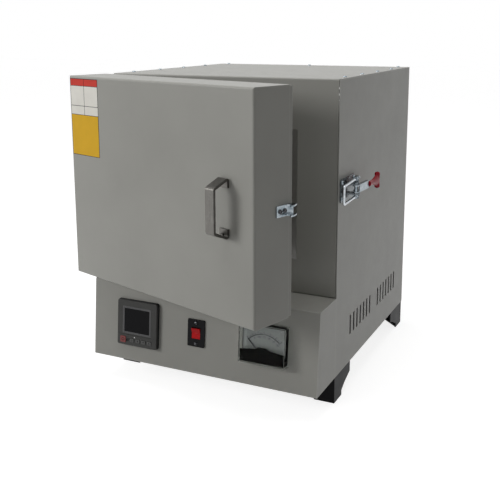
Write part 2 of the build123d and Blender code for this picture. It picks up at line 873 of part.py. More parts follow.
def door_handle():
    """A flat bar bent into a bow, with slanting legs that stand on the door."""
    span = handle_span / 2
    grip = handle_grip / 2
    points = [
        (door_front, span - 20.0),
        (door_front, span),
        (door_front - handle_stand_off, grip),
        (door_front - handle_stand_off, -grip),
        (door_front, -span),
        (door_front, -span + 20.0),
    ]
    bar = fold(points, handle_bar, handle_width, inside=Side.LEFT, radius=handle_bar + 1.0)
    for z in (-span + 10.0, span - 10.0):
        bar = bar - rod((0, door_front - handle_bar - 1, z), (0, 1, 0), screw_shank + fit_gap, handle_bar + 2)
    return open_door(Pos(half_width - handle_inset, 0, under_z + handle_level) * bar)


def strike_bolt_seats():
    x = half_width + strike_sheet
    y = strike_start() + 9.0
    z = under_z + latch_level
    return [(x, y, z), (x, y + strike_bolt_spacing, z)]


def strike_start():
    """Where the strike's plate begins, so that its hook ends in front of the casing."""
    return front_y - strike_sheet * 3 - strike_length


def latch_strike():
    """The catch on the door: a plate with two hooked lugs that hold the bow of the latch."""
    z = under_z + latch_level
    half = strike_height / 2
    start = strike_start()
    end = start + strike_length
    plate = block(half_width, half_width + strike_sheet, start, end, z - half, z + half)
    seat_x = half_width + strike_seat_out
    tip_x = half_width + strike_reach
    slot = strike_slot / 2
    throat = end - strike_hook
    lug = Polygon(
        (half_width, throat - slot),
        (half_width + strike_sheet, throat - slot),
        (seat_x - slot, throat),
        (seat_x + slot, throat),
        (seat_x + slot, throat - strike_lip),
        (tip_x, throat - strike_lip),
        (tip_x, throat + strike_tip),
        (tip_x - 5.0, end),
        (half_width, end),
        align=None,
    )
    lugs = [
        extrude(Plane.XY.offset(low) * lug, amount=strike_sheet)
        for low in (z - half, z + half - strike_sheet)
    ]
    strike = plate + lugs[0] + lugs[1]
    for seat in strike_bolt_seats():
        strike = strike - rod((seat[0] - 4, seat[1], seat[2]), (1, 0, 0), screw_shank + fit_gap, 6.0)
    return open_door(strike)


def strike_bolts():
    """Two round headed bolts through the strike into the door."""
    bolts = []
    for x, y, z in strike_bolt_seats():
        head = rod((x, y, z), (1, 0, 0), strike_bolt_radius, strike_bolt_head)
        head = chamfer(head.edges().sort_by(Axis.X)[-1], strike_bolt_head / 2)
        shank = rod((x - strike_sheet - screw_length, y, z), (1, 0, 0), screw_shank, strike_sheet + screw_length)
        bolts.append(open_door(head + shank))
    return Compound(bolts)


def door_screws():
    """The screws of the hinge leaves and of the handle."""
    screws = [screw(seat, (-1, 0, 0)) for seat in leaf_screw_seats()]
    for z in (-handle_span / 2 + 10.0, handle_span / 2 - 10.0):
        seat = (half_width - handle_inset, door_front + sheet, under_z + handle_level + z)
        head = rod(seat, (0, 1, 0), screw_head, screw_head_height)
        shank = rod(seat, (0, -1, 0), screw_shank, sheet + handle_bar - 1.0)
        screws.append(head + shank)
    return Compound([open_door(piece) for piece in screws])


# Hinges
def knuckle(low, height):
    return rod((hinge_x, hinge_y, low), (0, 0, 1), knuckle_radius, height)


def hinge_brackets():
    """The casing half of each hinge: a plate with the lower knuckle."""
    brackets = []
    for level in hinge_levels:
        z = under_z + level
        half = hinge_leaf_height / 2
        x = -half_width
        plate = block(x - hinge_plate, x, hinge_y, hinge_y + hinge_leaf_length, z - half, z + half)
        plate = plate - block(x - hinge_plate - 1, x + 1, hinge_y - 1, hinge_y + knuckle_radius + 2.0, z, z + half + 1)
        web = block(hinge_x, x, hinge_y, hinge_y + knuckle_radius, z - knuckle_height, z)
        bracket = plate + knuckle(z - knuckle_height, knuckle_height) + web
        bore = rod((hinge_x, hinge_y, z - knuckle_height - 1), (0, 0, 1), hinge_pin_radius, knuckle_height + 2)
        bracket = bracket - bore
        brackets.append(drill(bracket, bracket_screw_seats(), (-1, 0, 0)))
    return Compound(brackets)


def hinge_leaves():
    """The door half of each hinge: a plate with the upper knuckle."""
    leaves = []
    for level in hinge_levels:
        z = under_z + level
        half = hinge_leaf_height / 2
        x = -half_width
        plate = block(x - hinge_plate, x, door_back - hinge_leaf_length, door_back, z - half, z + half)
        arm_low = z + fit_gap
        arm = block(x - hinge_plate, x - fit_gap, door_back - 1, front_y - 2.0, arm_low, arm_low + knuckle_height)
        web = block(x - hinge_plate, x - fit_gap, front_y - 2.5, hinge_y, arm_low, arm_low + knuckle_height)
        leaf = plate + arm + web + knuckle(arm_low, knuckle_height)
        bore = rod((hinge_x, hinge_y, arm_low - 1), (0, 0, 1), hinge_pin_radius + pin_clearance, knuckle_height + 2)
        leaf = leaf - bore
        leaves.append(open_door(drill(leaf, leaf_screw_seats(), (-1, 0, 0))))
    return Compound(leaves)


def hinge_pins():
    pins = []
    for level in hinge_levels:
        low = under_z + level - knuckle_height
        pin = rod((hinge_x, hinge_y, low), (0, 0, 1), hinge_pin_radius, 2 * knuckle_height + 1.0)
        pins.append(chamfer(pin.edges().sort_by(Axis.Z)[-1], 1.0))
    return Compound(pins)


# Toggle latch
def latch_point(out, back):
    """A point beside the right panel: so far out from it and so far behind its front edge."""
    return half_width + out, front_y + back


def latch_outline(points):
    return Polygon(*[latch_point(out, back) for out, back in points], align=None)


def latch_plates(outline, low, sheet_thickness):
    """Two equal plates above and below the latch's middle plane, from their inner faces outwards."""
    z = under_z + latch_level
    upper = extrude(Plane.XY.offset(z + low) * outline, amount=sheet_thickness)
    lower = extrude(Plane.XY.offset(z - low - sheet_thickness) * outline, amount=sheet_thickness)
    return upper + lower


def pivot_place():
    return latch_point(pivot_out, pivot_back)


def link_place():
    """The link pin, a crank's length from the pivot and a little nearer the panel."""
    turn = math.radians(crank_angle)
    return latch_point(pivot_out - crank_radius * math.sin(turn), pivot_back + crank_radius * math.cos(turn))


def disc(place, radius):
    return Pos(place[0], place[1]) * Circle(radius)


def latch_base():
    """The latch's mounting plate with two ears for the lever."""
    z = under_z + latch_level
    x, start = latch_point(0, latch_plate_start)
    half = latch_plate_height / 2
    plate = block(x, x + latch_plate_sheet, start, start + latch_plate_length, z - half, z + half)
    plate = fillet(plate.edges().filter_by(Axis.X), 5.0)
    root = latch_outline([
        (latch_plate_sheet - 0.5, pivot_back - ear_radius - 3.0),
        (pivot_out, pivot_back - ear_radius),
        (pivot_out, pivot_back + ear_radius),
        (latch_plate_sheet - 0.5, pivot_back + ear_radius + 1.0),
    ])
    ears = latch_plates(root + disc(pivot_place(), ear_radius), ear_half_span - ear_sheet, ear_sheet)
    base = plate + ears
    x, y = pivot_place()
    base = base - rod((x, y, z - ear_half_span - 1), (0, 0, 1), latch_pin_radius, 2 * ear_half_span + 2)
    return drill(base, latch_screw_seats(), (1, 0, 0))


def latch_pivot_pin():
    """The riveted pin through the ears and the lever."""
    z = under_z + latch_level
    x, y = pivot_place()
    shank = rod((x, y, z - ear_half_span), (0, 0, 1), latch_pin_radius, 2 * ear_half_span)
    for low in (z - ear_half_span - 1.6, z + ear_half_span):
        shank = shank + rod((x, y, low), (0, 0, 1), latch_pin_radius + 1.2, 1.6)
    return shank


def lever_frame():
    """Plane across the lever's tail: local X runs along the lever, local Y across the latch."""
    lean = math.radians(lever_lean)
    x, y = latch_point(pivot_out + 2.0, pivot_back)
    return Plane(
        origin=(x, y, under_z + latch_level),
        x_dir=(math.sin(lean), math.cos(lean), 0),
        z_dir=(math.cos(lean), -math.sin(lean), 0),
    )


def latch_lever():
    """The handle lever: two cheeks on the pivot and link pins, joined by a web that narrows to the grip."""
    wide = latch_pin_radius + 3.5
    cheek = make_hull((disc(pivot_place(), wide).edges() + disc(link_place(), wide).edges()))
    tail = latch_outline([
        (pivot_out - 1.0, pivot_back + 4.0),
        (pivot_out + 6.0, pivot_back + 4.0),
        (pivot_out + 8.5, pivot_back + lever_tail),
        (pivot_out + 2.0, pivot_back + lever_tail),
    ])
    cheeks = latch_plates(cheek + tail, lever_half_span - lever_sheet, lever_sheet)
    frame = lever_frame()
    width = 2 * lever_half_span
    web = frame * Pos(lever_tail / 2 + 2.0, 0, 3.0) * Box(lever_tail - 8.0, width - 0.1, lever_sheet)
    lever = cheeks + web
    z = under_z + latch_level
    for x, y in (pivot_place(), link_place()):
        hole = rod((x, y, z - lever_half_span - 1), (0, 0, 1), latch_pin_radius + pin_clearance, width + 2)
        lever = lever - hole
    return lever


def latch_grip():
    """The moulded grip: a stem that ends in a cross bar."""
    frame = lever_frame()
    start = lever_tail + 0.5
    end = start + grip_length
    root = frame * Pos(start, 0, 3.0) * Rot(0, 90, 0) * RectangleRounded(10.0, 15.0, 3.0)
    neck = frame * Pos(end - 2 * grip_radius, 0, 3.0) * Rot(0, 90, 0) * RectangleRounded(9.0, 20.0, 3.0)
    stem = loft([root, neck])
    bar_place = frame * Pos(end - grip_radius, -grip_bar / 2, 3.0)
    bar = Plane(origin=bar_place.position, z_dir=(0, 0, 1)) * Cylinder(
        grip_radius, grip_bar, align=(Align.CENTER, Align.CENTER, Align.MIN)
    )
    bar = chamfer(bar.edges().filter_by(GeomType.CIRCLE), grip_radius / 3)
    join = frame * Pos(end - 1.6 * grip_radius, 0, 3.0) * Box(1.2 * grip_radius, 20.0, 9.0)
    return stem + bar + join


def latch_link_pin():
    z = under_z + latch_level
    x, y = link_place()
    half = rod_half_span - rod_radius - 1.0
    return rod((x, y, z - half), (0, 0, 1), latch_pin_radius, 2 * half)


def bow_frame():
    """Plane of the bow: local X points forwards along its rods, local Y runs up."""
    lean = math.radians(rod_lean)
    x, y = link_place()
    return Plane(
        origin=(x, y, under_z + latch_level),
        x_dir=(math.sin(lean), -math.cos(lean), 0),
        z_dir=(-math.cos(lean), -math.sin(lean), 0),
    )


def latch_swivels():
    """The two drilled blocks on the ends of the link pin that the rods screw through."""
    z = under_z + latch_level
    x, y = link_place()
    inner = lever_half_span + fit_gap + 0.4
    outer = rod_half_span + rod_radius + 2.5
    pin_depth = rod_half_span - rod_radius - 1.0
    blocks = []
    for side in (-1, 1):
        low = min(side * inner, side * outer)
        body = rod((x, y, z + low), (0, 0, 1), swivel_radius, outer - inner)
        bore_low = min(side * (inner - 1), side * (pin_depth + fit_gap))
        bore_length = pin_depth + fit_gap - inner + 1
        body = body - rod((x, y, z + bore_low), (0, 0, 1), latch_pin_radius + pin_clearance, bore_length)
        cross = bow_frame() * Pos(0, side * rod_half_span, 0) * Rot(0, 90, 0) * Cylinder(rod_radius + 0.1, 4 * swivel_radius)
        blocks.append(body - cross)
    return Compound(blocks)


def latch_u_bolt():
    """The bow: a rod bent to a U, whose closed end drops behind the strike's lugs."""
    frame = bow_frame()
    points = [
        (-rod_tail, rod_half_span),
        (rod_length, rod_half_span),
        (rod_length, -rod_half_span),
        (-rod_tail, -rod_half_span),
    ]
    path = frame * FilletPolyline(*points, radius=2.2 * rod_radius)
    start = frame * Pos(-rod_tail, rod_half_span, 0)
    section = Plane(origin=start.position, z_dir=frame.x_dir) * Circle(rod_radius)
    return sweep(section, path=path)


def latch_nuts():
    """A nut on each side of each swivel block."""
    frame = bow_frame()
    nuts = []
    for side in (-1, 1):
        for x in (-swivel_radius - nut_height - 0.2, swivel_radius + 0.2):
            place = frame * Pos(x, side * rod_half_span, 0)
            nut = hexagon_bar(place.position, tuple(frame.x_dir), nut_size, nut_height)
            nuts.append(nut - rod(place.position, tuple(frame.x_dir), rod_radius + 0.1, nut_height))
    return Compound(nuts)


# Controls on the sloping panel
def controller_place():
    return panel * Pos(controller_x, controller_level, 0)


def key_pocket(x, width, height):
    gap = 2 * fit_gap
    depth = key_depth + key_travel + fit_gap
    middle = controller_proud - depth / 2 + 0.5
    return Pos(x, key_level, middle) * Box(width + gap, height + gap, depth + 1.0)


def controller_case():
    """The controller's bezel and the body behind the panel, with its window and key pockets."""
    bezel = extrude(RectangleRounded(controller_size, controller_size, 4.0), amount=controller_proud)
    bezel = fillet(bezel.faces().sort_by(Axis.Z)[-1].edges(), 1.5)
    body = Pos(0, 0, -controller_body_depth / 2) * Box(controller_body, controller_body, controller_body_depth)
    case = bezel + body
    window = Pos(0, window_offset, controller_proud) * Box(window_width, window_height, 2 * window_sink)
    case = case - window
    groove_y = window_offset - window_height / 2 - 6.0
    case = case - Pos(0, groove_y, controller_proud) * Box(controller_size - 8.0, 1.2, 2.0)
    case = case - key_pocket(power_key_x, power_key_size, power_key_size)
    for x in small_key_positions:
        case = case - key_pocket(x, small_key_width, small_key_height)
    return controller_place() * case


def controller_window():
    glass = extrude(Rectangle(window_width - 2 * fit_gap, window_height - 2 * fit_gap), amount=window_sink - 0.2)
    return controller_place() * Pos(0, window_offset, controller_proud - window_sink) * glass


def key(x, width, height):
    """One push key, standing a little proud of the bezel."""
    low = controller_proud + key_proud - key_depth
    cap = extrude(RectangleRounded(width, height, 1.2), amount=key_depth)
    return controller_place() * Pos(x, key_level, low) * cap


def switch_place():
    return panel * Pos(switch_x, switch_level, 0)


def switch_body():
    """The switch's black plate and the moulded body behind it, hollow for the rocker."""
    plate = extrude(RectangleRounded(switch_width, switch_height, 2.0), amount=switch_proud)
    width = switch_width - 8.0 - 2 * fit_gap
    height = switch_height - 22.0 - 2 * fit_gap
    body = Pos(0, 0, -switch_body_depth / 2) * Box(width, height, switch_body_depth)
    depth = rocker_depth + 4.0
    pocket_width = rocker_width + 2 * fit_gap
    pocket_height = rocker_height + 6 * fit_gap
    pocket = Pos(0, 0, switch_proud - depth / 2 + 1) * Box(pocket_width, pocket_height, depth + 2)
    pin_end = rocker_width / 2 + rocker_pin_reach + fit_gap
    bore = rod((-pin_end, 0, switch_proud - 2 * rocker_pin), (1, 0, 0), rocker_pin + pin_clearance, 2 * pin_end)
    shape = plate + body - pocket - bore
    for y in (-switch_screw_spacing / 2, switch_screw_spacing / 2):
        shape = shape - Pos(0, y, 0) * Cylinder(screw_shank + fit_gap, 4 * switch_proud)
    return switch_place() * shape


def rocker_place():
    """The rocker's axis, just under the switch plate."""
    return switch_place() * Pos(0, 0, switch_proud - 2 * rocker_pin)


def switch_rocker():
    """The rocker, a shallow V on two pins, tilted to one side at rest."""
    half = rocker_height / 2
    low = rocker_crown + 1.0 - rocker_depth
    toe = half - 2.5
    points = [(-half, rocker_crown + 1.0), (0, rocker_crown - 1.0), (half, rocker_crown + 1.0), (toe, low), (-toe, low)]
    body = crossbar(points, -rocker_width / 2, rocker_width / 2)
    pin_end = rocker_width / 2 + rocker_pin_reach
    pin = rod((-pin_end, 0, -rocker_pin), (1, 0, 0), rocker_pin, 2 * pin_end)
    body = Pos(0, 0, rocker_pin) * (body + pin)
    return rocker_place() * Rot(rocker_throw, 0, 0) * body


def meter_place():
    return panel * Pos(meter_x, meter_level, 0)


def meter_cover():
    """The clear front of the meter: a shallow drafted box, open towards the panel."""
    outer_back = Rectangle(meter_width, meter_height)
    outer_front = Pos(0, 0, meter_proud) * Rectangle(meter_width - 2 * meter_draft, meter_height - 2 * meter_draft)
    outer = loft([outer_back, outer_front])
    cut = 2 * meter_wall
    inner_back = Pos(0, 0, -1) * Rectangle(meter_width - cut, meter_height - cut)
    inner_front = Pos(0, 0, meter_proud - meter_wall) * Rectangle(
        meter_width - cut - 2 * meter_draft, meter_height - cut - 2 * meter_draft
    )
    return meter_place() * (outer - loft([inner_back, inner_front]))


def meter_base():
    """The meter's black body through the panel, and the mask that hides the needle's pivot."""
    width = meter_width - 2 * meter_wall - 2 * meter_draft - 2 * fit_gap
    height = meter_height - 2 * meter_wall - 2 * meter_draft - 2 * fit_gap
    back = extrude(Rectangle(width, height), amount=meter_dial_level)
    barrel = Pos(0, 0, -meter_body_depth / 2) * Cylinder(meter_body_radius, meter_body_depth)
    mask_top = meter_proud - meter_wall - fit_gap
    low = -height / 2
    outline = Polygon(
        (-width / 2, low),
        (width / 2, low),
        (width / 2, low + mask_height - 4.0),
        (mask_bump + 4.0, low + mask_height),
        (mask_bump, low + mask_height + 4.0),
        (-mask_bump, low + mask_height + 4.0),
        (-mask_bump - 4.0, low + mask_height),
        (-width / 2, low + mask_height - 4.0),
        align=None,
    )
    mask = Pos(0, 0, mask_top - mask_depth) * extrude(outline, amount=mask_depth)
    post_height = mask_top - meter_dial_level
    posts = [
        Pos(x, low + 5.0, meter_dial_level + post_height / 2) * Box(10.0, 10.0, post_height)
        for x in (-width / 2 + 5.0, width / 2 - 5.0)
    ]
    base = back + barrel + mask + posts[0] + posts[1]
    bearing = Pos(0, -needle_pivot_drop, meter_dial_level) * Cylinder(needle_stud + pin_clearance, 2 * needle_stud_depth + 1)
    return meter_place() * (base - bearing)


def meter_dial():
    width = meter_width - 2 * meter_wall - 2 * meter_draft - 2 * fit_gap
    height = meter_height - 2 * meter_wall - 2 * meter_draft - 2 * fit_gap
    plate = Pos(0, 6.0) * Rectangle(width - 4.0, height - 16.0)
    dial = Pos(0, 0, meter_dial_level) * extrude(plate, amount=meter_dial_sheet)
    pivot = Pos(0, -needle_pivot_drop, 0) * Cylinder(needle_hub + 1.0, 4 * meter_dial_level)
    return meter_place() * (dial - pivot)


def meter_needle():
    """The pointer on its hub, at the left end of its scale."""
    level = meter_dial_level + meter_dial_sheet + needle_lift
    middle = (needle_length - needle_tail) / 2
    arm = Pos(0, middle, 0) * Box(needle_width, needle_length + needle_tail, needle_sheet)
    hub = Cylinder(needle_hub, needle_sheet + 1.0)
    stud_length = meter_dial_sheet + needle_lift + needle_stud_depth
    stud = Pos(0, 0, -stud_length / 2) * Cylinder(needle_stud, stud_length)
    needle = Rot(0, 0, needle_rest_angle) * (arm + hub + stud)
    return meter_place() * Pos(0, -needle_pivot_drop, level) * needle


def main():
    os.makedirs("parts", exist_ok=True)
    save(side_panel(1), "right_side_panel")
    save(side_panel(-1), "left_side_panel")
    save(front_panel(), "front_panel")
    save(mouth_frame(), "mouth_frame")
    save(top_cover(), "top_cover")
    save(back_cover(), "back_cover")
    save(floor_pan(), "floor_pan")
    save(deck_plate(), "deck_plate")
    save(control_housing(), "control_housing")
    save(feet(), "feet")
    save(casing_screws(), "casing_screws")
    save(cable_gland(), "cable_gland")
    save(liner(), "liner")
    save(liner_rails(), "liner_rails")
    save(mouth_collar(), "mouth_collar")
    save(flat_board(1), "roof_board")
    save(flat_board(-1), "floor_board")
    save(side_boards(), "side_boards")
    save(rear_board(), "rear_board")
    save(hearth_plate(), "hearth_plate")
    save(heating_elements(), "heating_elements")
    save(terminal_bushings(), "terminal_bushings")
    save(thermocouple(), "thermocouple")
    save(thermocouple_head(), "thermocouple_head")
    save(heat_sink(), "heat_sink")
    save(solid_state_relay(), "solid_state_relay")
    save(terminal_block(), "terminal_block")
    save(door_shell(), "door_shell")
    save(door_inner_pan(), "door_inner_pan")
    save(door_insulation(), "door_insulation")
    save(door_plug(), "door_plug")
    save(door_seal(), "door_seal")
    save(door_handle(), "door_handle")
    save(latch_strike(), "latch_strike")
    save(strike_bolts(), "strike_bolts")
    save(door_screws(), "door_screws")
    save(hinge_brackets(), "hinge_brackets")
    save(hinge_leaves(), "hinge_leaves")
    save(hinge_pins(), "hinge_pins")
    save(latch_base(), "latch_base")
    save(latch_pivot_pin(), "latch_pivot_pin")
    save(latch_lever(), "latch_lever")
    save(latch_grip(), "latch_grip")
    save(latch_link_pin(), "latch_link_pin")
    save(latch_swivels(), "latch_swivels")
    save(latch_u_bolt(), "latch_u_bolt")
    save(latch_nuts(), "latch_nuts")
    save(controller_case(), "controller_case")
    save(controller_window(), "controller_window")
    save(key(power_key_x, power_key_size, power_key_size), "power_key")
    for name, x in zip(key_names, small_key_positions):
        save(key(x, small_key_width, small_key_height), name)
    save(switch_body(), "switch_body")
    save(switch_rocker(), "switch_rocker")
    save(meter_cover(), "meter_cover")
    save(meter_base(), "meter_base")
    save(meter_dial(), "meter_dial")
    save(meter_needle(), "meter_needle")


main()
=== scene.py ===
import bpy
import bmesh
import math
from mathutils import Matrix, Vector


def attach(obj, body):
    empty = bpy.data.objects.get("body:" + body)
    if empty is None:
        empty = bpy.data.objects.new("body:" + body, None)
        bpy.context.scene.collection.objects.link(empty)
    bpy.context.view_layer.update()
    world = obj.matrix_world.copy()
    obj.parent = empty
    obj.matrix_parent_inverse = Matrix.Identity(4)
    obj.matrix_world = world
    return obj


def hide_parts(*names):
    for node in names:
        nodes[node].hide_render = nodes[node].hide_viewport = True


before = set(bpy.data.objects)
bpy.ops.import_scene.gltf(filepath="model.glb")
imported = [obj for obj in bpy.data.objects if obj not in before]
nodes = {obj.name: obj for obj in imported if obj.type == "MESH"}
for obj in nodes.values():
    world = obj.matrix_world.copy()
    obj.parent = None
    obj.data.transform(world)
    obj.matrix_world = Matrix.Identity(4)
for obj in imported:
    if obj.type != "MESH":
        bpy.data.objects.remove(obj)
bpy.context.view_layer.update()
scene = bpy.context.scene
mm = 0.001  # what is multiplied by it is in mm, the rest in metres
print("furnace: frame loaded,", len(nodes), "nodes")


# a placing matrix from its three directions and its origin
def placedBy(*columns):
    return Matrix([[column[row] for column in columns] for row in range(3)] + [[0, 0, 0, 1]])


# Camera

view = {
    "place": (0.743448, -1.65984, 0.741756),
    "turn": 25.634,
    "dip": 10.827,
    "roll": -0.16,
    "lens": 57.054,
    "shiftUp": -0.14,
}


def placeCamera():
    turn, dip, roll = (math.radians(view[key]) for key in ("turn", "dip", "roll"))
    level = math.cos(dip)
    ahead = Vector((-math.sin(turn) * level, math.cos(turn) * level, -math.sin(dip)))
    right = Vector((math.cos(turn), math.sin(turn), 0))
    up = right.cross(ahead)
    across = right * math.cos(roll) + up * math.sin(roll)
    above = up * math.cos(roll) - right * math.sin(roll)
    lens = bpy.data.cameras.new("photo_camera")
    lens.sensor_width = 36
    lens.lens = view["lens"]
    lens.shift_y = view["shiftUp"]
    lens.clip_start = 0.02
    camera = bpy.data.objects.new("photo_camera", lens)
    camera.matrix_world = placedBy(across, above, -ahead, view["place"])
    scene.collection.objects.link(camera)
    scene.camera = camera


placeCamera()


# Shader wiring

class Wire:
    def __init__(self, finish, socket):
        self.finish = finish
        self.socket = socket

    def combine(self, kind, first, second):
        return self.finish.node("Math", {"operation": kind}, {0: first, 1: second})

    def __add__(self, other):
        return self.combine("ADD", self, other)

    def __radd__(self, other):
        return self.combine("ADD", other, self)

    def __sub__(self, other):
        return self.combine("SUBTRACT", self, other)

    def __rsub__(self, other):
        return self.combine("SUBTRACT", other, self)

    def __mul__(self, other):
        return self.combine("MULTIPLY", self, other)

    def __rmul__(self, other):
        return self.combine("MULTIPLY", other, self)

    def over(self, low, high):
        ends = {"Value": self, "From Min": low, "From Max": high}
        return self.finish.node("MapRange", {"clamp": True}, ends)


class Finish:
    def __init__(self, name, **constants):
        self.material = bpy.data.materials.new(name)
        self.material.use_nodes = True
        self.tree = self.material.node_tree
        self.shader = self.tree.nodes["Principled BSDF"]
        for key, value in constants.items():
            self.shader.inputs[key].default_value = value

    def node(self, kind, settings=None, values=None, out=0):
        made = self.tree.nodes.new("ShaderNode" + kind)
        for key, value in (settings or {}).items():
            setattr(made, key, value)
        for key, value in (values or {}).items():
            self.join(value, made.inputs[key])
        return Wire(self, made.outputs[out])

    def join(self, value, socket):
        if isinstance(value, Wire):
            self.tree.links.new(value.socket, socket)
        elif isinstance(value, tuple) and len(value) == 3 and socket.type == "RGBA":
            socket.default_value = (*value, 1)
        else:
            socket.default_value = value

    def place(self, scale=(1, 1, 1), turn=(0, 0, 0), shift=(0, 0, 0)):
        spot = self.node("TexCoord", out="Object")
        turned = tuple(math.radians(angle) for angle in turn)
        values = {"Vector": spot, "Location": shift, "Rotation": turned, "Scale": scale}
        return self.node("Mapping", {}, values)

    def noise(self, scale, detail=3.0, rough=0.5, where=None, warp=0.0):
        values = {"Vector": where or self.place(), "Scale": scale, "Detail": detail, "Roughness": rough}
        values["Distortion"] = warp
        return self.node("TexNoise", {}, values)

    def cells(self, scale):
        return self.node("TexVoronoi", {"feature": "F1"}, {"Vector": self.place(), "Scale": scale})

    def blend(self, factor, first, second):
        settings = {"data_type": "RGBA", "blend_type": "MIX"}
        return self.node("Mix", settings, {0: factor, 6: first, 7: second}, out=2)

    # how far a spot is from a sharp edge: 0 on the flat, 1 on the edge
    def edge(self, width, gain=6.0):
        soft = self.node("Bevel", {"samples": 4}, {"Radius": width})
        flat = self.node("NewGeometry", {}, {}, out="Normal")
        same = self.node("VectorMath", {"operation": "DOT_PRODUCT"}, {0: soft, 1: flat}, out="Value")
        return ((1 - same) * gain).over(0, 1)

    def bump(self, *layers):
        normal = None
        for height, distance, strength in layers:
            values = {"Height": height, "Distance": distance, "Strength": strength}
            if normal:
                values["Normal"] = normal
            normal = self.node("Bump", {}, values)
        self.join(normal, self.shader.inputs["Normal"])
        return self

    def paint(self, colour=None, rough=None, metal=None, coat=None, glow=None):
        for value, name in ((colour, "Base Color"), (rough, "Roughness"), (metal, "Metallic"),
                            (coat, "Coat Weight"), (glow, "Emission Color")):
            if value is not None:
                self.join(value, self.shader.inputs[name])
        return self


# Finishes

paintColour = {
    "grey": (0.285, 0.282, 0.258),
    "pale": (0.325, 0.322, 0.298),
    "dark": (0.245, 0.243, 0.224),
    # rim: the colour laid on the edges, partly a painted highlight and partly thin paint
    "rim": (0.40, 0.397, 0.37),
    "bare": (0.46, 0.46, 0.45),
    "peel": 620,
    "roughness": 0.38,
}


def powderCoat(name, tone=1.0):
    shades = [paintColour[key] for key in ("grey", "pale", "dark")]
    grey, pale, dark = (tuple(part * tone for part in shade) for shade in shades)
    coat = Finish(name, **{"Specular IOR Level": 0.32})
    drift = coat.noise(4.5, 4, 0.55)
    handled = coat.noise(38, 5, 0.6, warp=0.6)
    grain = coat.noise(paintColour["peel"], 2, 0.5)
    speck = coat.noise(2600, 1, 0.5)
    edge = coat.edge(0.0028)
    colour = coat.blend(drift.over(0.3, 0.7), dark, pale)
    colour = coat.blend(0.55, colour, grey)
    colour = coat.blend(speck.over(0.35, 0.75) * 0.12, colour, pale)
    chipped = edge * handled.over(0.5, 0.78)
    # edges lighter in the rim colour: partly a painted highlight on the bends, partly thin paint; the bare
    # metal below is chipped wear
    colour = coat.blend(edge * 0.75, colour, paintColour["rim"])
    colour = coat.blend(chipped * 0.5, colour, paintColour["bare"])
    shine = paintColour["roughness"] + (handled - 0.5) * 0.16 + speck * 0.05
    coat.paint(colour, shine)
    waves = coat.noise(9, 2)
    coat.bump((waves, 0.0016, 0.12), (grain, 0.00035, 0.22), (speck, 0.0001, 0.12))
    return coat.material


def plated(name, colour, tint, roughness=0.26, cloud=70):
    zinc = Finish(name)
    clouds = zinc.noise(cloud, 5, 0.62, warp=1.2)
    rub = zinc.noise(900, 2, 0.5, zinc.place((1, 1, 0.12)))
    edge = zinc.edge(0.0006)
    mixed = zinc.blend(clouds.over(0.35, 0.68), colour, tint)
    # edges lighter, towards near white: a painted highlight along the edges
    mixed = zinc.blend(edge * 0.5, mixed, (0.82, 0.84, 0.86))
    dull = roughness + (clouds - 0.5) * 0.25 + rub * 0.08
    zinc.paint(mixed, dull, 1.0 - clouds.over(0.62, 0.9) * 0.12)
    zinc.bump((rub, 0.00006, 0.3), (clouds, 0.00015, 0.25))
    return zinc.material


def brushed(name, colour, along, roughness=0.24):
    steel = Finish(name)
    lines = steel.noise(1500, 3, 0.7, steel.place(along))
    broad = steel.noise(24, 4, 0.6)
    smear = steel.noise(90, 4, 0.7, warp=1.5)
    dark = tuple(part * 0.72 for part in colour)
    mixed = steel.blend(lines.over(0.3, 0.72), dark, colour)
    mixed = steel.blend(smear.over(0.55, 0.8) * 0.25, mixed, (0.42, 0.41, 0.39))
    dull = roughness + lines * 0.16 + smear.over(0.5, 0.8) * 0.12 + broad * 0.04
    steel.paint(mixed, dull, 1.0)
    steel.bump((lines, 0.00006, 0.35))
    return steel.material


def moulded(name, colour, roughness=0.42, grain=700, depth=0.00012, shine=0.16):
    plastic = Finish(name, **{"Specular IOR Level": shine})
    texture = plastic.cells(grain)
    drift = plastic.noise(26, 4, 0.6)
    edge = plastic.edge(0.0008)
    pale = tuple(part * 1.35 + 0.002 for part in colour)
    mixed = plastic.blend(drift.over(0.3, 0.75) * 0.4, colour, pale)
    # edges lightened to the pale tone: a painted highlight along the edges
    mixed = plastic.blend(edge * 0.4, mixed, pale)
    plastic.paint(mixed, roughness + (drift - 0.5) * 0.18 - edge * 0.08)
    plastic.bump((texture, depth, 0.3), (drift, 0.0004, 0.06))
    return plastic.material


def fibreBoard(name, colour, warm):
    board = Finish(name)
    strands = board.noise(420, 6, 0.75, board.place((1, 1, 4)), warp=2.2)
    crossed = board.noise(300, 6, 0.75, board.place((4, 1, 1)), warp=2.0)
    pits = board.cells(210)
    stain = board.noise(14, 4, 0.6)
    mixed = board.blend(stain.over(0.4, 0.8) * 0.5, colour, warm)
    between, pitShade = (tuple(part * share for part in colour) for share in (0.86, 0.93))
    mixed = board.blend(strands.over(0.35, 0.7) * 0.45, mixed, between)
    # darker in the pits: painted shade in the hollows
    mixed = board.blend(pits.over(0.0, 0.12) * -0.5 + 0.5, mixed, pitShade)
    board.paint(mixed, 0.86 + strands * 0.1)
    board.bump((pits, 0.0009, 0.35), (strands, 0.0006, 0.5), (crossed, 0.0006, 0.4))
    return board.material


def braid(name):
    rope = Finish(name)
    values = {"Vector": rope.place(turn=(0, 45, 0)), "Scale": 260, "Distortion": 1.2, "Detail": 1.0}
    there = rope.node("TexWave", {"bands_direction": "X"}, values, out="Fac")
    back = rope.node("TexWave", {"bands_direction": "Z"}, values, out="Fac")
    weave = there * 0.5 + back * 0.5
    fuzz = rope.noise(1400, 4, 0.7)
    stain = rope.noise(30, 4, 0.6)
    # lighter on the raised strands, darker in the hollows between them: painted shade
    mixed = rope.blend(weave, (0.42, 0.40, 0.36), (0.78, 0.76, 0.71))
    mixed = rope.blend(stain.over(0.5, 0.75) * 0.5, mixed, (0.5, 0.42, 0.32))
    rope.paint(mixed, 0.9)
    rope.bump((weave, 0.0012, 0.7), (fuzz, 0.0003, 0.5))
    return rope.material


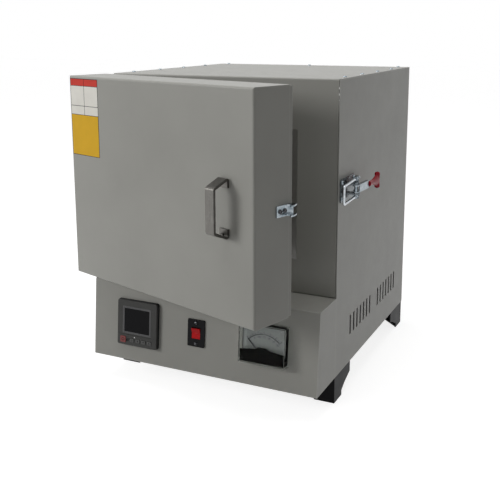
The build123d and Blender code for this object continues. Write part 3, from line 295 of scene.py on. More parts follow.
def hearthSlab(name):
    slab = Finish(name)
    grit = slab.cells(900)
    shade = slab.noise(22, 5, 0.65)
    speck = slab.noise(1100, 2, 0.5)
    mixed = slab.blend(shade.over(0.35, 0.7), (0.30, 0.235, 0.17), (0.42, 0.35, 0.265))
    mixed = slab.blend(speck.over(0.6, 0.7), mixed, (0.12, 0.1, 0.085))
    # edges lighter: a painted highlight along the edges
    mixed = slab.blend(slab.edge(0.0014) * 0.4, mixed, (0.5, 0.44, 0.36))
    slab.paint(mixed, 0.72 + shade * 0.12)
    slab.bump((grit, 0.0003, 0.5), (shade, 0.0008, 0.2))
    return slab.material


def oxidisedWire(name):
    wire = Finish(name)
    scale = wire.noise(260, 5, 0.7)
    bloom = wire.noise(40, 3, 0.6)
    mixed = wire.blend(bloom.over(0.3, 0.7), (0.13, 0.12, 0.115), (0.26, 0.235, 0.2))
    mixed = wire.blend(scale.over(0.55, 0.8) * 0.6, mixed, (0.36, 0.35, 0.32))
    wire.paint(mixed, 0.55 + scale * 0.25, 0.55)
    wire.bump((scale, 0.0002, 0.4))
    return wire.material


def glazed(name, colour):
    ceramic = Finish(name, **{"Coat Roughness": 0.12})
    shade = ceramic.noise(60, 4, 0.6)
    speck = ceramic.noise(1500, 1, 0.5)
    mixed = ceramic.blend(shade.over(0.3, 0.75), colour, tuple(part * 0.9 for part in colour))
    mixed = ceramic.blend(speck.over(0.66, 0.72) * 0.6, mixed, (0.36, 0.3, 0.24))
    ceramic.paint(mixed, 0.3 + shade * 0.14, coat=shade * 0.4)
    ceramic.bump((shade, 0.0003, 0.12))
    return ceramic.material


def sandCast(name, colour, metal=0.85, roughness=0.44):
    cast = Finish(name)
    sand = cast.cells(520)
    shade = cast.noise(34, 5, 0.6)
    edge = cast.edge(0.001)
    mixed = cast.blend(shade.over(0.3, 0.75), colour, tuple(part * 0.76 for part in colour))
    # edges lighter, towards near white: a painted highlight along the edges
    mixed = cast.blend(edge * 0.6, mixed, (0.75, 0.75, 0.74))
    cast.paint(mixed, roughness + shade * 0.14 - edge * 0.1, metal)
    cast.bump((sand, 0.0003, 0.45), (shade, 0.0006, 0.15))
    return cast.material


def tintedGlass(name):
    glass = Finish(name, **{"Specular IOR Level": 0.07})
    smear = glass.noise(45, 4, 0.6, warp=1.4)
    dust = glass.noise(1800, 2, 0.6)
    mixed = glass.blend(dust.over(0.6, 0.8) * 0.25, (0.004, 0.004, 0.005), (0.03, 0.03, 0.035))
    glass.paint(mixed, 0.09 + smear.over(0.45, 0.8) * 0.1)
    glass.bump((glass.noise(60, 2), 0.0012, 0.25))
    return glass.material


def litRed(name):
    lens = Finish(name, **{"Emission Strength": 0.06, "Specular IOR Level": 0.08})
    across = lens.noise(110, 3, 0.5)
    values = {"Vector": lens.place(), "Scale": 210}
    ribs = lens.node("TexWave", {"bands_direction": "Z"}, values, out="Fac")
    glow = lens.blend(across.over(0.35, 0.7), (0.5, 0.008, 0.01), (0.95, 0.03, 0.03))
    mixed = lens.blend(across, (0.26, 0.006, 0.008), (0.5, 0.012, 0.014))
    lens.paint(mixed, 0.2 + across * 0.12, glow=glow)
    lens.bump((ribs, 0.0002, 0.3))
    return lens.material


def clearCover(name):
    constants = {"Transmission Weight": 1.0, "IOR": 1.09, "Specular IOR Level": 0.15}
    clear = Finish(name, **constants)
    haze = clear.noise(70, 4, 0.6)
    scuff = clear.noise(1600, 2, 0.6, clear.place((1, 1, 0.1)))
    edge = clear.edge(0.0012)
    mixed = clear.blend(edge * 0.5, (0.93, 0.95, 0.94), (0.74, 0.78, 0.76))
    dull = 0.004 + haze.over(0.5, 0.8) * 0.015 + scuff.over(0.66, 0.8) * 0.05 + edge * 0.05
    clear.paint(mixed, dull)
    clear.bump((haze, 0.0004, 0.06))
    return clear.material


def printed(name, colour, roughness=0.45):
    ink = Finish(name, **{"Specular IOR Level": 0.08})
    fleck = ink.noise(1300, 3, 0.6)
    shade = ink.noise(30, 3, 0.6)
    dark = tuple(part * 0.88 for part in colour)
    mixed = ink.blend(shade.over(0.3, 0.7) * 0.6 + fleck * 0.2, colour, dark)
    ink.paint(mixed, roughness + fleck * 0.12)
    ink.bump((fleck, 0.00004, 0.25))
    return ink.material


def glossRed(name):
    grip = Finish(name, **{"Specular IOR Level": 0.12})
    flow = grip.noise(50, 3, 0.55, warp=0.8)
    scuff = grip.noise(700, 4, 0.7)
    edge = grip.edge(0.001)
    mixed = grip.blend(flow.over(0.3, 0.75), (0.33, 0.001, 0.012), (0.46, 0.004, 0.02))
    # pinker on scuffed edges: partly scuff wear, partly a painted highlight
    mixed = grip.blend(edge * scuff.over(0.5, 0.9) * 0.15, mixed, (0.5, 0.08, 0.09))
    grip.paint(mixed, 0.16 + scuff.over(0.5, 0.9) * 0.16)
    grip.bump((flow, 0.0005, 0.1), (scuff, 0.00008, 0.2))
    return grip.material


bodyPaint = powderCoat("casing_powder_coat")
doorPaint = powderCoat("door_powder_coat", 1.04)
footPaint = moulded("foot_black_paint", (0.009, 0.009, 0.01), 0.42, 900, 0.0002, shine=0.06)
zincPlate = plated("blue_zinc", (0.14, 0.175, 0.20), (0.36, 0.40, 0.43), 0.16)
# a lighter copy of the zinc for the U-bolt: a painted highlight on the bright rods
litBowZinc = plated("bow_zinc_lit_copy", (0.34, 0.37, 0.40), (0.60, 0.63, 0.66), 0.18)
# a near-black copy of the zinc for the latch base, swivels and link pin: painted shade for the dark gaps
# between the rods
shadedLatchZinc = plated("latch_base_zinc_shaded_copy", (0.028, 0.036, 0.04), (0.15, 0.175, 0.19), 0.2, 110)
hingeZinc = plated("hinge_zinc", (0.20, 0.22, 0.235), (0.36, 0.38, 0.40), 0.3, 50)
darkZinc = plated("dark_zinc_bolts", (0.012, 0.012, 0.014), (0.035, 0.036, 0.04), 0.32, 90)
handleSteel = brushed("handle_brushed_steel", (0.15, 0.145, 0.135), (1, 1, 0.03), 0.2)
innerSteel = brushed("liner_steel", (0.33, 0.325, 0.31), (1, 0.05, 1), 0.32)
plainSteel = plated("raw_steel", (0.40, 0.40, 0.39), (0.52, 0.51, 0.49), 0.34, 40)
boardFibre = fibreBoard("ceramic_fibre_board", (0.80, 0.785, 0.74), (0.74, 0.66, 0.54))
sealBraid = braid("seal_braid")
hearthFinish = hearthSlab("hearth_slab")
wireFinish = oxidisedWire("element_wire_oxide")
ceramicFinish = glazed("glazed_ceramic", (0.78, 0.76, 0.70))
castFinish = sandCast("head_cast_alloy", (0.30, 0.30, 0.295))
sinkFinish = sandCast("sink_alloy_black", (0.06, 0.06, 0.065), 0.7, 0.38)
blackPlastic = moulded("black_moulding", (0.006, 0.006, 0.007), 0.3, shine=0.08)
bezelPlastic = moulded("controller_bezel_grey", (0.05, 0.05, 0.048), 0.5, 1100)
meterBlack = moulded("meter_gloss_black", (0.001, 0.001, 0.001), 0.3, 200, 0.00003, 0.005)
redKey = moulded("power_key_red", (0.21, 0.06, 0.058), 0.4)
greyKey = moulded("key_grey", (0.10, 0.10, 0.098), 0.42)
windowGlass = tintedGlass("window_tint")
rockerLens = litRed("rocker_lit_red")
meterCover = clearCover("meter_clear_cover")
# the white dial is coloured mid grey: painted shade
shadedDialInk = printed("dial_white_enamel_in_painted_shade", (0.175, 0.181, 0.178), 0.6)
blackInk = printed("black_ink", (0.012, 0.012, 0.013))
gripRed = glossRed("grip_gloss_red")
print("furnace: finishes made")

finishes = {
    "right_side_panel": bodyPaint, "left_side_panel": bodyPaint, "front_panel": bodyPaint,
    "top_cover": bodyPaint, "back_cover": bodyPaint, "floor_pan": bodyPaint, "control_housing": bodyPaint,
    "deck_plate": plainSteel, "mouth_frame": innerSteel, "feet": footPaint, "cable_gland": blackPlastic,
    "liner": innerSteel, "liner_rails": plainSteel, "mouth_collar": boardFibre, "roof_board": boardFibre,
    "floor_board": boardFibre, "side_boards": boardFibre, "rear_board": boardFibre,
    "hearth_plate": hearthFinish, "heating_elements": wireFinish, "terminal_bushings": ceramicFinish,
    "thermocouple": ceramicFinish, "thermocouple_head": castFinish, "heat_sink": sinkFinish,
    "solid_state_relay": bezelPlastic, "terminal_block": blackPlastic, "hinge_brackets": hingeZinc,
    "hinge_pins": plainSteel, "latch_base": shadedLatchZinc, "latch_pivot_pin": zincPlate,
    "controller_case": bezelPlastic, "controller_window": windowGlass, "switch_body": blackPlastic,
    "meter_cover": meterCover, "meter_base": meterBlack, "meter_dial": shadedDialInk,
    "casing_screws": zincPlate,
    "door_shell": doorPaint, "door_inner_pan": doorPaint, "door_insulation": boardFibre,
    "door_plug": boardFibre, "door_seal": sealBraid, "door_handle": handleSteel,
    "latch_strike": zincPlate, "strike_bolts": darkZinc, "door_screws": zincPlate, "hinge_leaves": hingeZinc,
    "latch_lever": zincPlate, "latch_grip": gripRed, "latch_link_pin": shadedLatchZinc,
    "latch_swivels": shadedLatchZinc, "latch_u_bolt": litBowZinc, "latch_nuts": zincPlate,
    "switch_rocker": rockerLens, "meter_needle": blackInk, "power_key": redKey,
    "set_key": greyKey, "shift_key": greyKey, "down_key": greyKey, "up_key": greyKey,
}
for nodeName, finish in finishes.items():
    materials = nodes[nodeName].data.materials
    materials.clear()
    materials.append(finish)


# Mesh helpers

def keep(bm, name, finish, body, matrix=None, smooth=30):
    if matrix:
        bmesh.ops.transform(bm, matrix=matrix, verts=bm.verts)
    bmesh.ops.remove_doubles(bm, verts=bm.verts, dist=1e-6)
    bmesh.ops.recalc_face_normals(bm, faces=bm.faces)
    mesh = bpy.data.meshes.new(name)
    bm.to_mesh(mesh)
    bm.free()
    mesh.materials.append(finish)
    mesh.shade_smooth()
    mesh.set_sharp_from_angle(angle=math.radians(smooth))
    piece = bpy.data.objects.new(name, mesh)
    scene.collection.objects.link(piece)
    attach(piece, body)
    return piece


def vertsIn(parts):
    return [part for part in parts if isinstance(part, bmesh.types.BMVert)]


def openEdges(parts):
    return [part for part in parts if isinstance(part, bmesh.types.BMEdge) and part.is_boundary]


def addBox(bm, low, high):
    low, high = Vector(low) * mm, Vector(high) * mm
    size = Matrix.Diagonal((*(high - low), 1))
    place = Matrix.Translation((low + high) / 2) @ size
    return bmesh.ops.create_cube(bm, size=1, matrix=place)["verts"]


def roundEdges(bm, edges, size, segments):
    bmesh.ops.bevel(bm, geom=edges, offset=size * mm, segments=segments, profile=0.5,
                    affect="EDGES", material=-1)


# a plate with rounded corners, its outline on z = low, risen to z = high with a soft rim
def addPlate(bm, width, height, low, high, corner=1.0, rim=0.3, centre=(0, 0)):
    grid = bmesh.ops.create_grid(bm, x_segments=1, y_segments=1, size=0.5)["verts"]
    bmesh.ops.scale(bm, vec=Vector((width, height, 1)) * mm, verts=grid)
    bmesh.ops.translate(bm, vec=Vector((*centre, low)) * mm, verts=grid)
    flat = grid[0].link_faces[0]
    rise = bmesh.ops.extrude_face_region(bm, geom=[flat])["geom"]
    top = vertsIn(rise)
    bmesh.ops.translate(bm, vec=Vector((0, 0, high - low)) * mm, verts=top)
    near = 1e-7
    uprights = [edge for vert in top for edge in vert.link_edges
                if abs(edge.verts[0].co.z - edge.verts[1].co.z) > near]
    roundEdges(bm, uprights, corner, 3)
    if rim:
        roof = [face for face in bm.faces
                if face.normal.z > 0.9 and abs(face.calc_center_median().z - high * mm) < near]
        roundEdges(bm, list({edge for face in roof for edge in face.edges}), rim, 2)


# the sloping front's own frame: x across, y up the slope, z out of it
lean = Vector((0, -0.99642, 0.084545))
slope = Vector((0, 0.084545, 0.99642))
frontFoot = Vector((0, -0.3535, 0.056))  # its lower edge, in the middle
frontPlane = placedBy((1, 0, 0), slope, lean, frontFoot)


def onFront(x, level, out=0):
    return frontPlane @ Matrix.Translation(Vector((x, level, out)) * mm)


# Screws

switchMiddle = onFront(-7, 84.5) @ Vector()
switchReach = 0.032  # heads nearer than this are the switch's own
screwHead = {
    "dome": 2.3, "slot": 1.0, "cross": 1.95, "sink": 1.1, "stand": 2.2, "turn": 1.7,
    "rings": ((2.9, 2.05), (3.65, 1.45), (4.0, 0.6), (4.0, 0.0)),  # radius and height
}


def addScrewHead(bm, matrix):
    size = screwHead
    made = bmesh.ops.create_grid(bm, x_segments=3, y_segments=3, size=1)["verts"]
    for vert in made:
        for axis in (0, 1):
            reach = size["cross"] if abs(vert.co[axis]) > 0.9 else size["slot"] / 2
            vert.co[axis] = math.copysign(reach, vert.co[axis])
        vert.co.z = size["dome"]
    faces = list({face for vert in made for face in vert.link_faces})
    cross = [face for face in faces
             if min(abs(part) for part in face.calc_center_median().xy) < 0.1]
    rim = [edge for edge in {edge for face in faces for edge in face.edges} if edge.is_boundary]
    verts = list(made)
    for radius, height in size["rings"]:
        grown = bmesh.ops.extrude_edge_only(bm, edges=rim)["geom"]
        ring, rim = vertsIn(grown), openEdges(grown)
        for vert in ring:
            aim = vert.co.xy.normalized() * radius
            vert.co = Vector((aim.x, aim.y, height))
        verts += ring
    bmesh.ops.contextual_create(bm, geom=rim)
    sunk = bmesh.ops.extrude_face_region(bm, geom=cross)["geom"]
    floor = vertsIn(sunk)
    bmesh.ops.delete(bm, geom=cross, context="FACES_ONLY")
    bmesh.ops.translate(bm, vec=Vector((0, 0, -size["sink"])), verts=floor)
    verts += floor
    bmesh.ops.scale(bm, vec=Vector((mm, mm, mm)), verts=verts)
    bmesh.ops.transform(bm, matrix=matrix, verts=verts)


# the seats and directions of a node's screws, read from the flat tops of its heads
def screwPlaces(nodeName):
    bm = bmesh.new()
    bm.from_mesh(nodes[nodeName].data)
    bmesh.ops.remove_doubles(bm, verts=bm.verts, dist=1e-6)
    left, places = set(bm.faces), []
    while left:
        island, fresh = set(), [left.pop()]
        while fresh:
            face = fresh.pop()
            island.add(face)
            near = {other for edge in face.edges for other in edge.link_faces} & left
            left -= near
            fresh += near
        flats = {}
        for face in island:
            spot = face.calc_center_median()
            key = (*(round(part, 2) for part in face.normal), round(spot.dot(face.normal), 4))
            area, middle = flats.get(key, (0, Vector()))
            flats[key] = (area + face.calc_area(), middle + spot * face.calc_area())
        key, (area, middle) = max(flats.items(), key=lambda item: item[1][0])
        places.append((middle / area, Vector(key[:3]).normalized()))
    bm.free()
    return places


# modelled heads over a node's plain ones, darker on the switch
def makeScrews(nodeName, name, body, finish):
    bm = bmesh.new()
    for index, (top, out) in enumerate(screwPlaces(nodeName)):
        turn = out.to_track_quat("Z", "Y").to_matrix().to_4x4()
        turn = turn @ Matrix.Rotation(index * screwHead["turn"], 4, "Z")
        addScrewHead(bm, Matrix.Translation(top - out * screwHead["stand"] * mm) @ turn)
    piece = keep(bm, name, finish, body)
    piece.data.materials.append(darkZinc)
    for face in piece.data.polygons:
        face.material_index = int((face.center - switchMiddle).length < switchReach)
    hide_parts(nodeName)


makeScrews("casing_screws", "casing_screw_heads", "furnace", zincPlate)
makeScrews("door_screws", "door_screw_heads", "door", zincPlate)
print("furnace: screws made")


# Controller front

# places are measured from the middle of its face
controller = {
    "x": -144, "level": 82.5, "face": 9.0,
    "window": (61, 50), "windowUp": 6,
    "border": ((0, 0.2), (1.4, 0.5), (3.2, 0.5), (4.0, 0.0)),  # out from the window, and height
    "collar": {"side": 97.6, "low": 0.1, "high": 3.2, "corner": 4.5, "rim": 0.4},
    "lamp": (-5, -29.5), "lampRadius": 1.5,
    "keyRow": -36, "keyTop": 1.4, "markRise": 0.12,
}
grille = {"place": (-22, -36.5), "bars": 3, "pitch": 2.6, "lean": -38, "width": 1.0, "long": 12.4,
          "low": -0.1, "high": 0.22, "reach": 3.2}


def controllerFront(x, y, out=0):
    place = controller
    return onFront(place["x"] + x, place["level"] + y, place["face"] + out)


def makeControllerFrame():
    bm = bmesh.new()
    width, height = (part * mm / 2 for part in controller["window"])
    signs = ((-1, -1), (1, -1), (1, 1), (-1, 1))
    corners = [bm.verts.new((x * width, y * height, 0)) for x, y in signs]
    inner = [bm.edges.new((corners[index], corners[(index + 1) % 4])) for index in range(4)]
    edges = inner
    for wide, high in controller["border"]:
        grown = bmesh.ops.extrude_edge_only(bm, edges=edges)["geom"]
        for vert in vertsIn(grown):
            across = math.copysign(width + wide * mm, vert.co.x)
            up = math.copysign(height + wide * mm, vert.co.y)
            vert.co = Vector((across, up, high * mm))
        edges = openEdges(grown)
    bmesh.ops.bridge_loops(bm, edges=inner + edges)
    place = controllerFront(0, controller["windowUp"], 0.02)
    piece = keep(bm, "controller_window_frame", frameGrey, "furnace", place)


# the black collar that the bezel stands on
def makeControllerCollar():
    size = controller["collar"]
    bm = bmesh.new()
    addPlate(bm, size["side"], size["side"], size["low"], size["high"], size["corner"], size["rim"])
    place = onFront(controller["x"], controller["level"])
    piece = keep(bm, "controller_collar", blackPlastic, "furnace", place)


def makeControllerLamp():
    bm = bmesh.new()
    radius = controller["lampRadius"] * mm
    made = bmesh.ops.create_uvsphere(bm, u_segments=16, v_segments=8, radius=radius)["verts"]
    bmesh.ops.scale(bm, vec=(1, 1, 0.5), verts=made)
    x, y = controller["lamp"]
    piece = keep(bm, "controller_lamp", lampWhite, "furnace", controllerFront(x, y, 0.1))


# slanting bars between the power key and the set key, cut level at both ends
def makeControllerGrille():
    size = grille
    width, long = size["width"] / 2, size["long"] / 2
    slant = Matrix.Rotation(math.radians(size["lean"]), 3, "Z")
    bm = bmesh.new()
    for index in range(size["bars"]):
        made = addBox(bm, (-width, -long, size["low"]), (width, long, size["high"]))
        bmesh.ops.rotate(bm, cent=(0, 0, 0), matrix=slant, verts=made)
        shift = (index - (size["bars"] - 1) / 2) * size["pitch"]
        bmesh.ops.translate(bm, vec=(shift * mm, 0, 0), verts=made)
    for side in (Vector((0, 1, 0)), Vector((0, -1, 0))):
        everything = bm.verts[:] + bm.edges[:] + bm.faces[:]
        bmesh.ops.bisect_plane(bm, geom=everything, dist=1e-7, plane_co=side * size["reach"] * mm,
                               plane_no=side, clear_outer=True)
        bmesh.ops.holes_fill(bm, edges=openEdges(bm.edges), sides=0)
    piece = keep(bm, "controller_grille", blackPlastic, "furnace", controllerFront(*size["place"]))


frameGrey = moulded("window_frame_grey", (0.095, 0.095, 0.097), 0.4, 1100)
lampWhite = printed("lamp_white", (0.9, 0.9, 0.88), 0.25)
makeControllerFrame()
makeControllerCollar()
makeControllerLamp()
makeControllerGrille()

keyMarks = {
    "set_key": {"x": -11, "sides": 12, "size": 1.9, "turn": 0, "body": "set_button"},
    "shift_key": {"x": 3, "sides": 3, "size": 2.3, "turn": 90, "body": "shift_button"},
    "down_key": {"x": 17, "sides": 3, "size": 2.3, "turn": 180, "body": "down_button"},
    "up_key": {"x": 31, "sides": 3, "size": 2.3, "turn": 0, "body": "up_button"},
    "power_key": {"x": -33, "sides": 20, "size": 3.4, "turn": 0, "body": "power_button"},
}


# a raised mark on each key: a ring on the round ones, an arrow head on the others
def makeKeyMark(name, mark):
    bm = bmesh.new()
    radius = mark["size"] * mm
    made = bmesh.ops.create_circle(bm, cap_ends=True, segments=mark["sides"], radius=radius)["verts"]
    turn = Matrix.Rotation(math.radians(mark["turn"]), 3, "Z")
    bmesh.ops.rotate(bm, cent=(0, 0, 0), matrix=turn, verts=made)
    if mark["sides"] > 3:
        ring = bmesh.ops.inset_region(bm, faces=bm.faces[:], thickness=radius * 0.3,
                                      use_boundary=True, use_even_offset=True)["faces"]
        core = [face for face in bm.faces if face not in ring]
        bmesh.ops.delete(bm, geom=core, context="FACES")
    raised = bmesh.ops.extrude_face_region(bm, geom=bm.faces[:])["geom"]
    bmesh.ops.translate(bm, vec=(0, 0, controller["markRise"] * mm), verts=vertsIn(raised))
    place = controllerFront(mark["x"], controller["keyRow"], controller["keyTop"])
    piece = keep(bm, name + "_mark", blackInk, mark["body"], place)


for keyName, keyMark in keyMarks.items():
    makeKeyMark(keyName, keyMark)
print("furnace: controller front made")


# Ammeter dial

meter = {
    "x": 146, "level": 90, "paper": 9.0, "pivotDown": 27, "arc": 46, "low": 45, "high": 135,
    "steps": 60,
    "ticks": {"long": (6.0, 0.9), "middle": (4.2, 0.6), "short": (2.6, 0.35)},  # length and width
    "tickRise": 0.12, "line": (-0.9, 0.3), "lineLow": 0.14, "lineRise": 0.06, "lineSteps": 48,
    "figures": ("0", "5", "10", "15", "20", "25", "30"),
    "figureSize": 6.2, "figureIn": 5.5, "figureRise": 0.06,
}


# a spot on the dial, its angle counted from the left
def dialPlace(angle, radius):
    turn = math.radians(angle)
    return Vector((-math.cos(turn) * radius, math.sin(turn) * radius - meter["pivotDown"], 0))


def makeDialScale():
    bm = bmesh.new()
    low, high, arc = meter["low"], meter["high"], meter["arc"]
    for index in range(meter["steps"] + 1):
        kind = "short" if index % 5 else "middle" if index % 10 else "long"
        if kind == "short" and index % 2:
            continue
        long, width = meter["ticks"][kind]
        angle = low + (high - low) * index / meter["steps"]
        made = addBox(bm, (-width / 2, 0, 0), (width / 2, long, meter["tickRise"]))
        turn = Matrix.Rotation(math.radians(90 - angle), 4, "Z")
        place = Matrix.Translation(dialPlace(angle, arc) * mm) @ turn
        bmesh.ops.transform(bm, matrix=place, verts=made)
    ticks = set(bm.faces)
    ends = [dialPlace(low, arc + reach) for reach in meter["line"]]
    line = bm.edges.new([bm.verts.new(Vector((*end.xy, meter["lineLow"])) * mm) for end in ends])
    bmesh.ops.spin(bm, geom=[line], cent=dialPlace(0, 0) * mm, axis=(0, 0, 1),
                   angle=-math.radians(high - low), steps=meter["lineSteps"],
                   use_merge=False, use_normal_flip=False, use_duplicate=False)
    strip = [face for face in bm.faces if face not in ticks]
    raised = bmesh.ops.extrude_face_region(bm, geom=strip)["geom"]
    bmesh.ops.translate(bm, vec=(0, 0, meter["lineRise"] * mm), verts=vertsIn(raised))
    place = onFront(meter["x"], meter["level"], meter["paper"])
    piece = keep(bm, "meter_scale", blackInk, "furnace", place)


# an object's mesh with its curve or modifiers worked out, the object itself gone
def finished(source):
    graph = bpy.context.evaluated_depsgraph_get()
    mesh = bpy.data.meshes.new_from_object(source.evaluated_get(graph))
    bpy.data.objects.remove(source)
    return mesh


def printFigure(text, spot, size, place, name):
    curve = bpy.data.curves.new(name, "FONT")
    curve.body = text
    curve.size = size * mm
    curve.align_x, curve.align_y = "CENTER", "CENTER"
    curve.extrude = 0.05 * mm
    curve.resolution_u = 3
    drawn = bpy.data.objects.new(name, curve)
    scene.collection.objects.link(drawn)
    mesh = finished(drawn)
    mesh.transform(place @ Matrix.Translation(Vector(spot) * mm))
    return mesh


def makeDialFigures():
    bm = bmesh.new()
    base = onFront(meter["x"], meter["level"], meter["paper"] + meter["figureRise"])
    step = (meter["high"] - meter["low"]) / (len(meter["figures"]) - 1)
    for index, figure in enumerate(meter["figures"]):
        spot = dialPlace(meter["low"] + step * index, meter["arc"] - meter["figureIn"])
        bm.from_mesh(printFigure(figure, spot, meter["figureSize"], base, "meter_figure"))
    piece = keep(bm, "meter_figures", blackInk, "furnace")


makeDialScale()
makeDialFigures()
print("furnace: meter dial made")


# Label on the door, plain colour fields

door = {"left": -0.255, "top": 0.649, "front": -0.3585, "hinge": (-0.267, -0.2445, 0), "open": -17.2}
label = {
    "left": 4, "width": 90, "top": 5, "depth": 155, "corner": 1.5, "film": 0.14,
    "header": 14, "cells": 40, "rows": 18, "line": 1.2, "gap": 1, "fieldCorner": 0.6, "ink": 0.24,
}
labelRed = printed("label_red_field", (0.62, 0.06, 0.045), 0.4)
labelPale = printed("label_pale_field", (0.80, 0.78, 0.72), 0.4)
labelYellow = printed("label_yellow_field", (0.72, 0.42, 0.03), 0.4)


# the door's front as it stands: x across from its left edge, y up from its top edge
def onDoor():
    hinge = Matrix.Translation(door["hinge"])
    swing = hinge @ Matrix.Rotation(math.radians(door["open"]), 4, "Z") @ hinge.inverted()
    corner = (door["left"], door["front"], door["top"])
    return swing @ placedBy((1, 0, 0), (0, 0, 1), (0, -1, 0), corner)


def makeLabel():
    size = label
    left, line, gap = size["left"], size["line"], size["gap"]
    half = (size["width"] - 3 * line) / 2
    red, pale = [], []
    for column in range(2):
        x, y = left + line + column * (half + line), size["top"]
        for field, depth in ((red, size["header"]), (pale, size["cells"]), (pale, size["rows"])):
            field.append((x, y + gap, half, depth - gap))
            y += depth
    rest = size["top"] + size["depth"] - y - 2 * gap
    yellow = [(left + line, y + gap, size["width"] - 2 * line, rest)]
    bm = bmesh.new()
    middle = (left + size["width"] / 2, -(size["top"] + size["depth"] / 2))
    addPlate(bm, size["width"], size["depth"], 0, size["film"], size["corner"], 0, middle)
    keep(bm, "label_film", blackInk, "door", onDoor())
    fields = {"label_red": (labelRed, red), "label_pale": (labelPale, pale),
              "label_yellow": (labelYellow, yellow)}
    for name, (finish, blocks) in fields.items():
        bm = bmesh.new()
        for x, y, width, height in blocks:
            middle = (x + width / 2, -(y + height / 2))
            addPlate(bm, width, height, size["film"], size["ink"], size["fieldCorner"], 0, middle)
        keep(bm, name, finish, "door", onDoor())


makeLabel()
print("furnace: label made")


# Wound heating elements

coil = {
    "x": 104, "radius": 3.9, "wire": 0.75, "runs": 6, "pitch": 16, "middle": 421,
    "back": 94.9, "front": -157.5, "turn": 4.2, "steps": 10, "tail": 124, "tailRadius": 2.4,
}


# one run of the winding, from the chamber's mouth towards its back
def windRun(length):
    size = coil
    bm = bmesh.new()
    turns = int(length / size["turn"])
    ring = bmesh.ops.create_circle(bm, segments=5, radius=size["wire"] * mm)["verts"]
    stand = Matrix.Translation((0, 0, size["radius"] * mm))
    upright = Matrix.Rotation(math.radians(90), 4, "Y")
    bmesh.ops.transform(bm, matrix=stand @ upright, verts=ring)
    edges = list({edge for vert in ring for edge in vert.link_edges})
    steps = turns * size["steps"]
    bmesh.ops.spin(bm, geom=ring + edges, cent=(0, 0, 0), dvec=(0, length / steps * mm, 0),
                   axis=(0, 1, 0), angle=2 * math.pi * turns, steps=steps,
                   use_merge=False, use_normal_flip=False, use_duplicate=False)
    bmesh.ops.holes_fill(bm, edges=openEdges(bm.edges), sides=0)
    mesh = bpy.data.meshes.new("coil_run")
    bm.to_mesh(mesh)
    bm.free()
    return mesh


def addRod(bm, start, end, radius, sides=12):
    start, end = Vector(start) * mm, Vector(end) * mm
    along = end - start
    turn = along.to_track_quat("Z", "Y").to_matrix().to_4x4()
    bmesh.ops.create_cone(bm, cap_ends=True, segments=sides, radius1=radius * mm, radius2=radius * mm,
                          depth=along.length, matrix=Matrix.Translation((start + end) / 2) @ turn)


def makeCoils():
    size = coil
    run = windRun(size["back"] - size["front"])
    top = size["middle"] + (size["runs"] - 1) / 2 * size["pitch"]
    levels = [top - index * size["pitch"] for index in range(size["runs"])]
    bm = bmesh.new()
    for side in (-1, 1):
        x = side * size["x"]
        for level in levels:
            copy = run.copy()
            copy.transform(Matrix.Translation(Vector((x, size["front"], level)) * mm))
            bm.from_mesh(copy)
            bpy.data.meshes.remove(copy)
        for index, level in enumerate(levels[:-1]):
            end = size["back"] if index % 2 else size["front"]
            under, over = level - size["radius"], levels[index + 1] + size["radius"]
            addRod(bm, (x, end, under), (x, end, over), size["wire"], 6)
        tip = size["back"] + size["tail"]
        for level in (levels[0], levels[-1]):
            addRod(bm, (x, size["back"], level), (x, tip, level), size["tailRadius"])
    piece = keep(bm, "wound_elements", wireFinish, "furnace", smooth=60)
    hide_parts("heating_elements")


makeCoils()
print("furnace: elements wound")


# Red T grip of the latch lever

grip = {
    "pivot": (276.0, -204.5, 434.0), "lean": 3, "proud": 3, "barAt": 108.5, "voxel": 0.6, "rubs": 4,
    # the stem's rings: place along the lever, half height, half depth
    "stem": ((58.5, 5.0, 4.0), (60, 6.0, 4.8), (67, 5.6, 4.5), (80, 5.7, 4.5), (90, 7.6, 4.7),
             (98, 10.6, 4.9), (104, 13.2, 5.0), (109, 14.2, 5.0)),
    # the bar's outline: radius and height
    "bar": ((0, -17), (2.6, -16.9), (4.6, -15.9), (5.7, -14), (5.8, -11.5), (5.2, -6), (5.1, 0),
            (5.2, 6), (5.8, 11.5), (5.7, 14), (4.6, 15.9), (2.6, 16.9), (0, 17)),
}


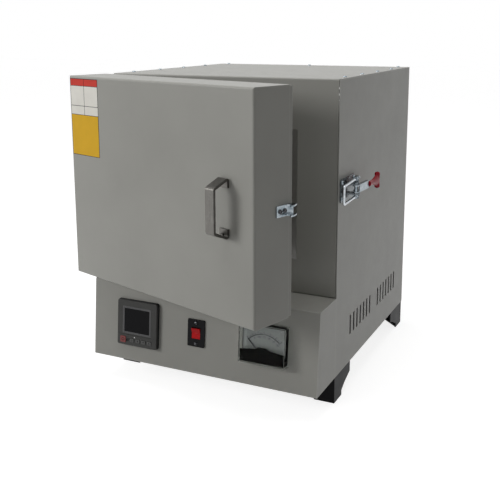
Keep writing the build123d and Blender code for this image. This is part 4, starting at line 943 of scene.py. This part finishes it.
# the grip in the lever's own frame: x along it, y up, z away from the casing
def makeGrip():
    bm = bmesh.new()
    first, *others = grip["stem"]
    ring = bmesh.ops.create_circle(bm, cap_ends=True, segments=20, radius=1)["verts"]
    face = ring[0].link_faces[0]
    upright = Matrix.Rotation(math.radians(90), 3, "Y")
    bmesh.ops.rotate(bm, cent=(0, 0, 0), matrix=upright, verts=ring)
    bmesh.ops.scale(bm, vec=(1, first[1], first[2]), verts=ring)
    bmesh.ops.translate(bm, vec=(first[0], 0, 0), verts=ring)
    before = first
    for here in others:
        grown = bmesh.ops.extrude_face_region(bm, geom=[face])["geom"]
        ring = vertsIn(grown)
        bmesh.ops.delete(bm, geom=[face], context="FACES_ONLY")
        face = next(part for part in grown if isinstance(part, bmesh.types.BMFace))
        bmesh.ops.scale(bm, vec=(1, here[1] / before[1], here[2] / before[2]), verts=ring)
        bmesh.ops.translate(bm, vec=(here[0] - before[0], 0, 0), verts=ring)
        before = here
    bmesh.ops.contextual_create(bm, geom=openEdges(bm.edges))
    bar = [bm.verts.new((grip["barAt"] + radius, height, 0)) for radius, height in grip["bar"]]
    outline = [bm.edges.new(pair) for pair in zip(bar, bar[1:])]
    bmesh.ops.spin(bm, geom=bar + outline, cent=(grip["barAt"], 0, 0), axis=(0, 1, 0),
                   angle=2 * math.pi, steps=24,
                   use_merge=True, use_normal_flip=False, use_duplicate=False)
    bmesh.ops.remove_doubles(bm, verts=bm.verts, dist=1e-4)
    bmesh.ops.recalc_face_normals(bm, faces=bm.faces)
    mesh = bpy.data.meshes.new("grip_form")
    bm.to_mesh(mesh)
    bm.free()
    form = bpy.data.objects.new("grip_form", mesh)
    scene.collection.objects.link(form)
    fuse = form.modifiers.new("fuse", "REMESH")
    fuse.mode, fuse.voxel_size = "VOXEL", grip["voxel"]
    bm = bmesh.new()
    bm.from_mesh(finished(form))
    for rub in range(grip["rubs"]):
        bmesh.ops.smooth_vert(bm, verts=bm.verts, factor=0.5,
                              use_axis_x=True, use_axis_y=True, use_axis_z=True)
    tilt = math.radians(grip["lean"])
    along = Vector((math.sin(tilt), math.cos(tilt), 0))
    out = Vector((math.cos(tilt), -math.sin(tilt), 0))
    place = placedBy(along, (0, 0, 1), out, Vector(grip["pivot"]) + out * grip["proud"])
    scale = Matrix.Diagonal((mm, mm, mm, 1))
    piece = keep(bm, "moulded_grip", gripRed, "lever", scale @ place, smooth=80)
    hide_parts("latch_grip")


makeGrip()
print("furnace: grip moulded")


# Floor, backdrop and light

light = {
    "world": 0.205,
    "floorGlow": 0.82,
    "floorReach": 14,
    "key": {"place": (-3.2, -3.3, 1.9), "aim": (0, -0.2, 0.35), "size": 1.4, "watts": 93},
    "top": {"place": (-0.2, -0.5, 3.0), "aim": (0, 0, 0.3), "size": 1.8, "watts": 38},
    "side": {"place": (2.6, 2.2, 1.5), "aim": (0, 0, 0.35), "size": 1.4, "watts": 1.5},
}


# rays that see the backdrop: straight from the camera, mirrored, or through the clear cover
def seenDirectly(finish):
    straight, mirrored, through = (finish.node("LightPath", out="Is " + kind + " Ray")
                                   for kind in ("Camera", "Glossy", "Transmission"))
    return (straight + mirrored + through).over(0, 1)


def makeStage():
    floor = Finish("pale_floor", Roughness=0.9)
    shade = floor.noise(3, 2) * 0.2
    floor.paint(floor.blend(shade, (0.50, 0.50, 0.50), (0.47, 0.47, 0.47)))
    lit = Wire(floor, floor.shader.outputs[0])
    white = floor.node("Emission", {}, {"Color": (1, 1, 1), "Strength": light["floorGlow"]})
    bright = floor.node("AddShader", {}, {0: lit, 1: white})
    mixed = floor.node("MixShader", {}, {0: seenDirectly(floor), 1: lit, 2: bright})
    floor.join(mixed, floor.tree.nodes["Material Output"].inputs["Surface"])
    bm = bmesh.new()
    bmesh.ops.create_grid(bm, x_segments=4, y_segments=4, size=light["floorReach"])
    mesh = bpy.data.meshes.new("studio_floor")
    bm.to_mesh(mesh)
    bm.free()
    mesh.materials.append(floor.material)
    plane = bpy.data.objects.new("studio_floor", mesh)
    scene.collection.objects.link(plane)


class Sky(Finish):
    def __init__(self, world):
        self.tree = world.node_tree


def makeWorld():
    world = bpy.data.worlds.new("studio_white")
    world.use_nodes = True
    scene.world = world
    sky = Sky(world)
    strength = seenDirectly(sky) * (1 - light["world"]) + light["world"]
    back = sky.tree.nodes["Background"]
    sky.join(strength, back.inputs["Strength"])
    back.inputs["Color"].default_value = (1, 1, 1, 1)


def makeLamp(name):
    size = light[name]
    lamp = bpy.data.lights.new(name + "_softbox", "AREA")
    lamp.shape = "SQUARE"
    lamp.size = size["size"]
    lamp.energy = size["watts"]
    stand = bpy.data.objects.new(name + "_softbox", lamp)
    aim = Vector(size["aim"]) - Vector(size["place"])
    turn = aim.to_track_quat("-Z", "Y").to_matrix().to_4x4()
    stand.matrix_world = Matrix.Translation(size["place"]) @ turn
    scene.collection.objects.link(stand)


makeStage()
makeWorld()
for lampName in ("key", "top", "side"):
    makeLamp(lampName)
scene.view_settings.view_transform = "Standard"
print("furnace: stage and light set")
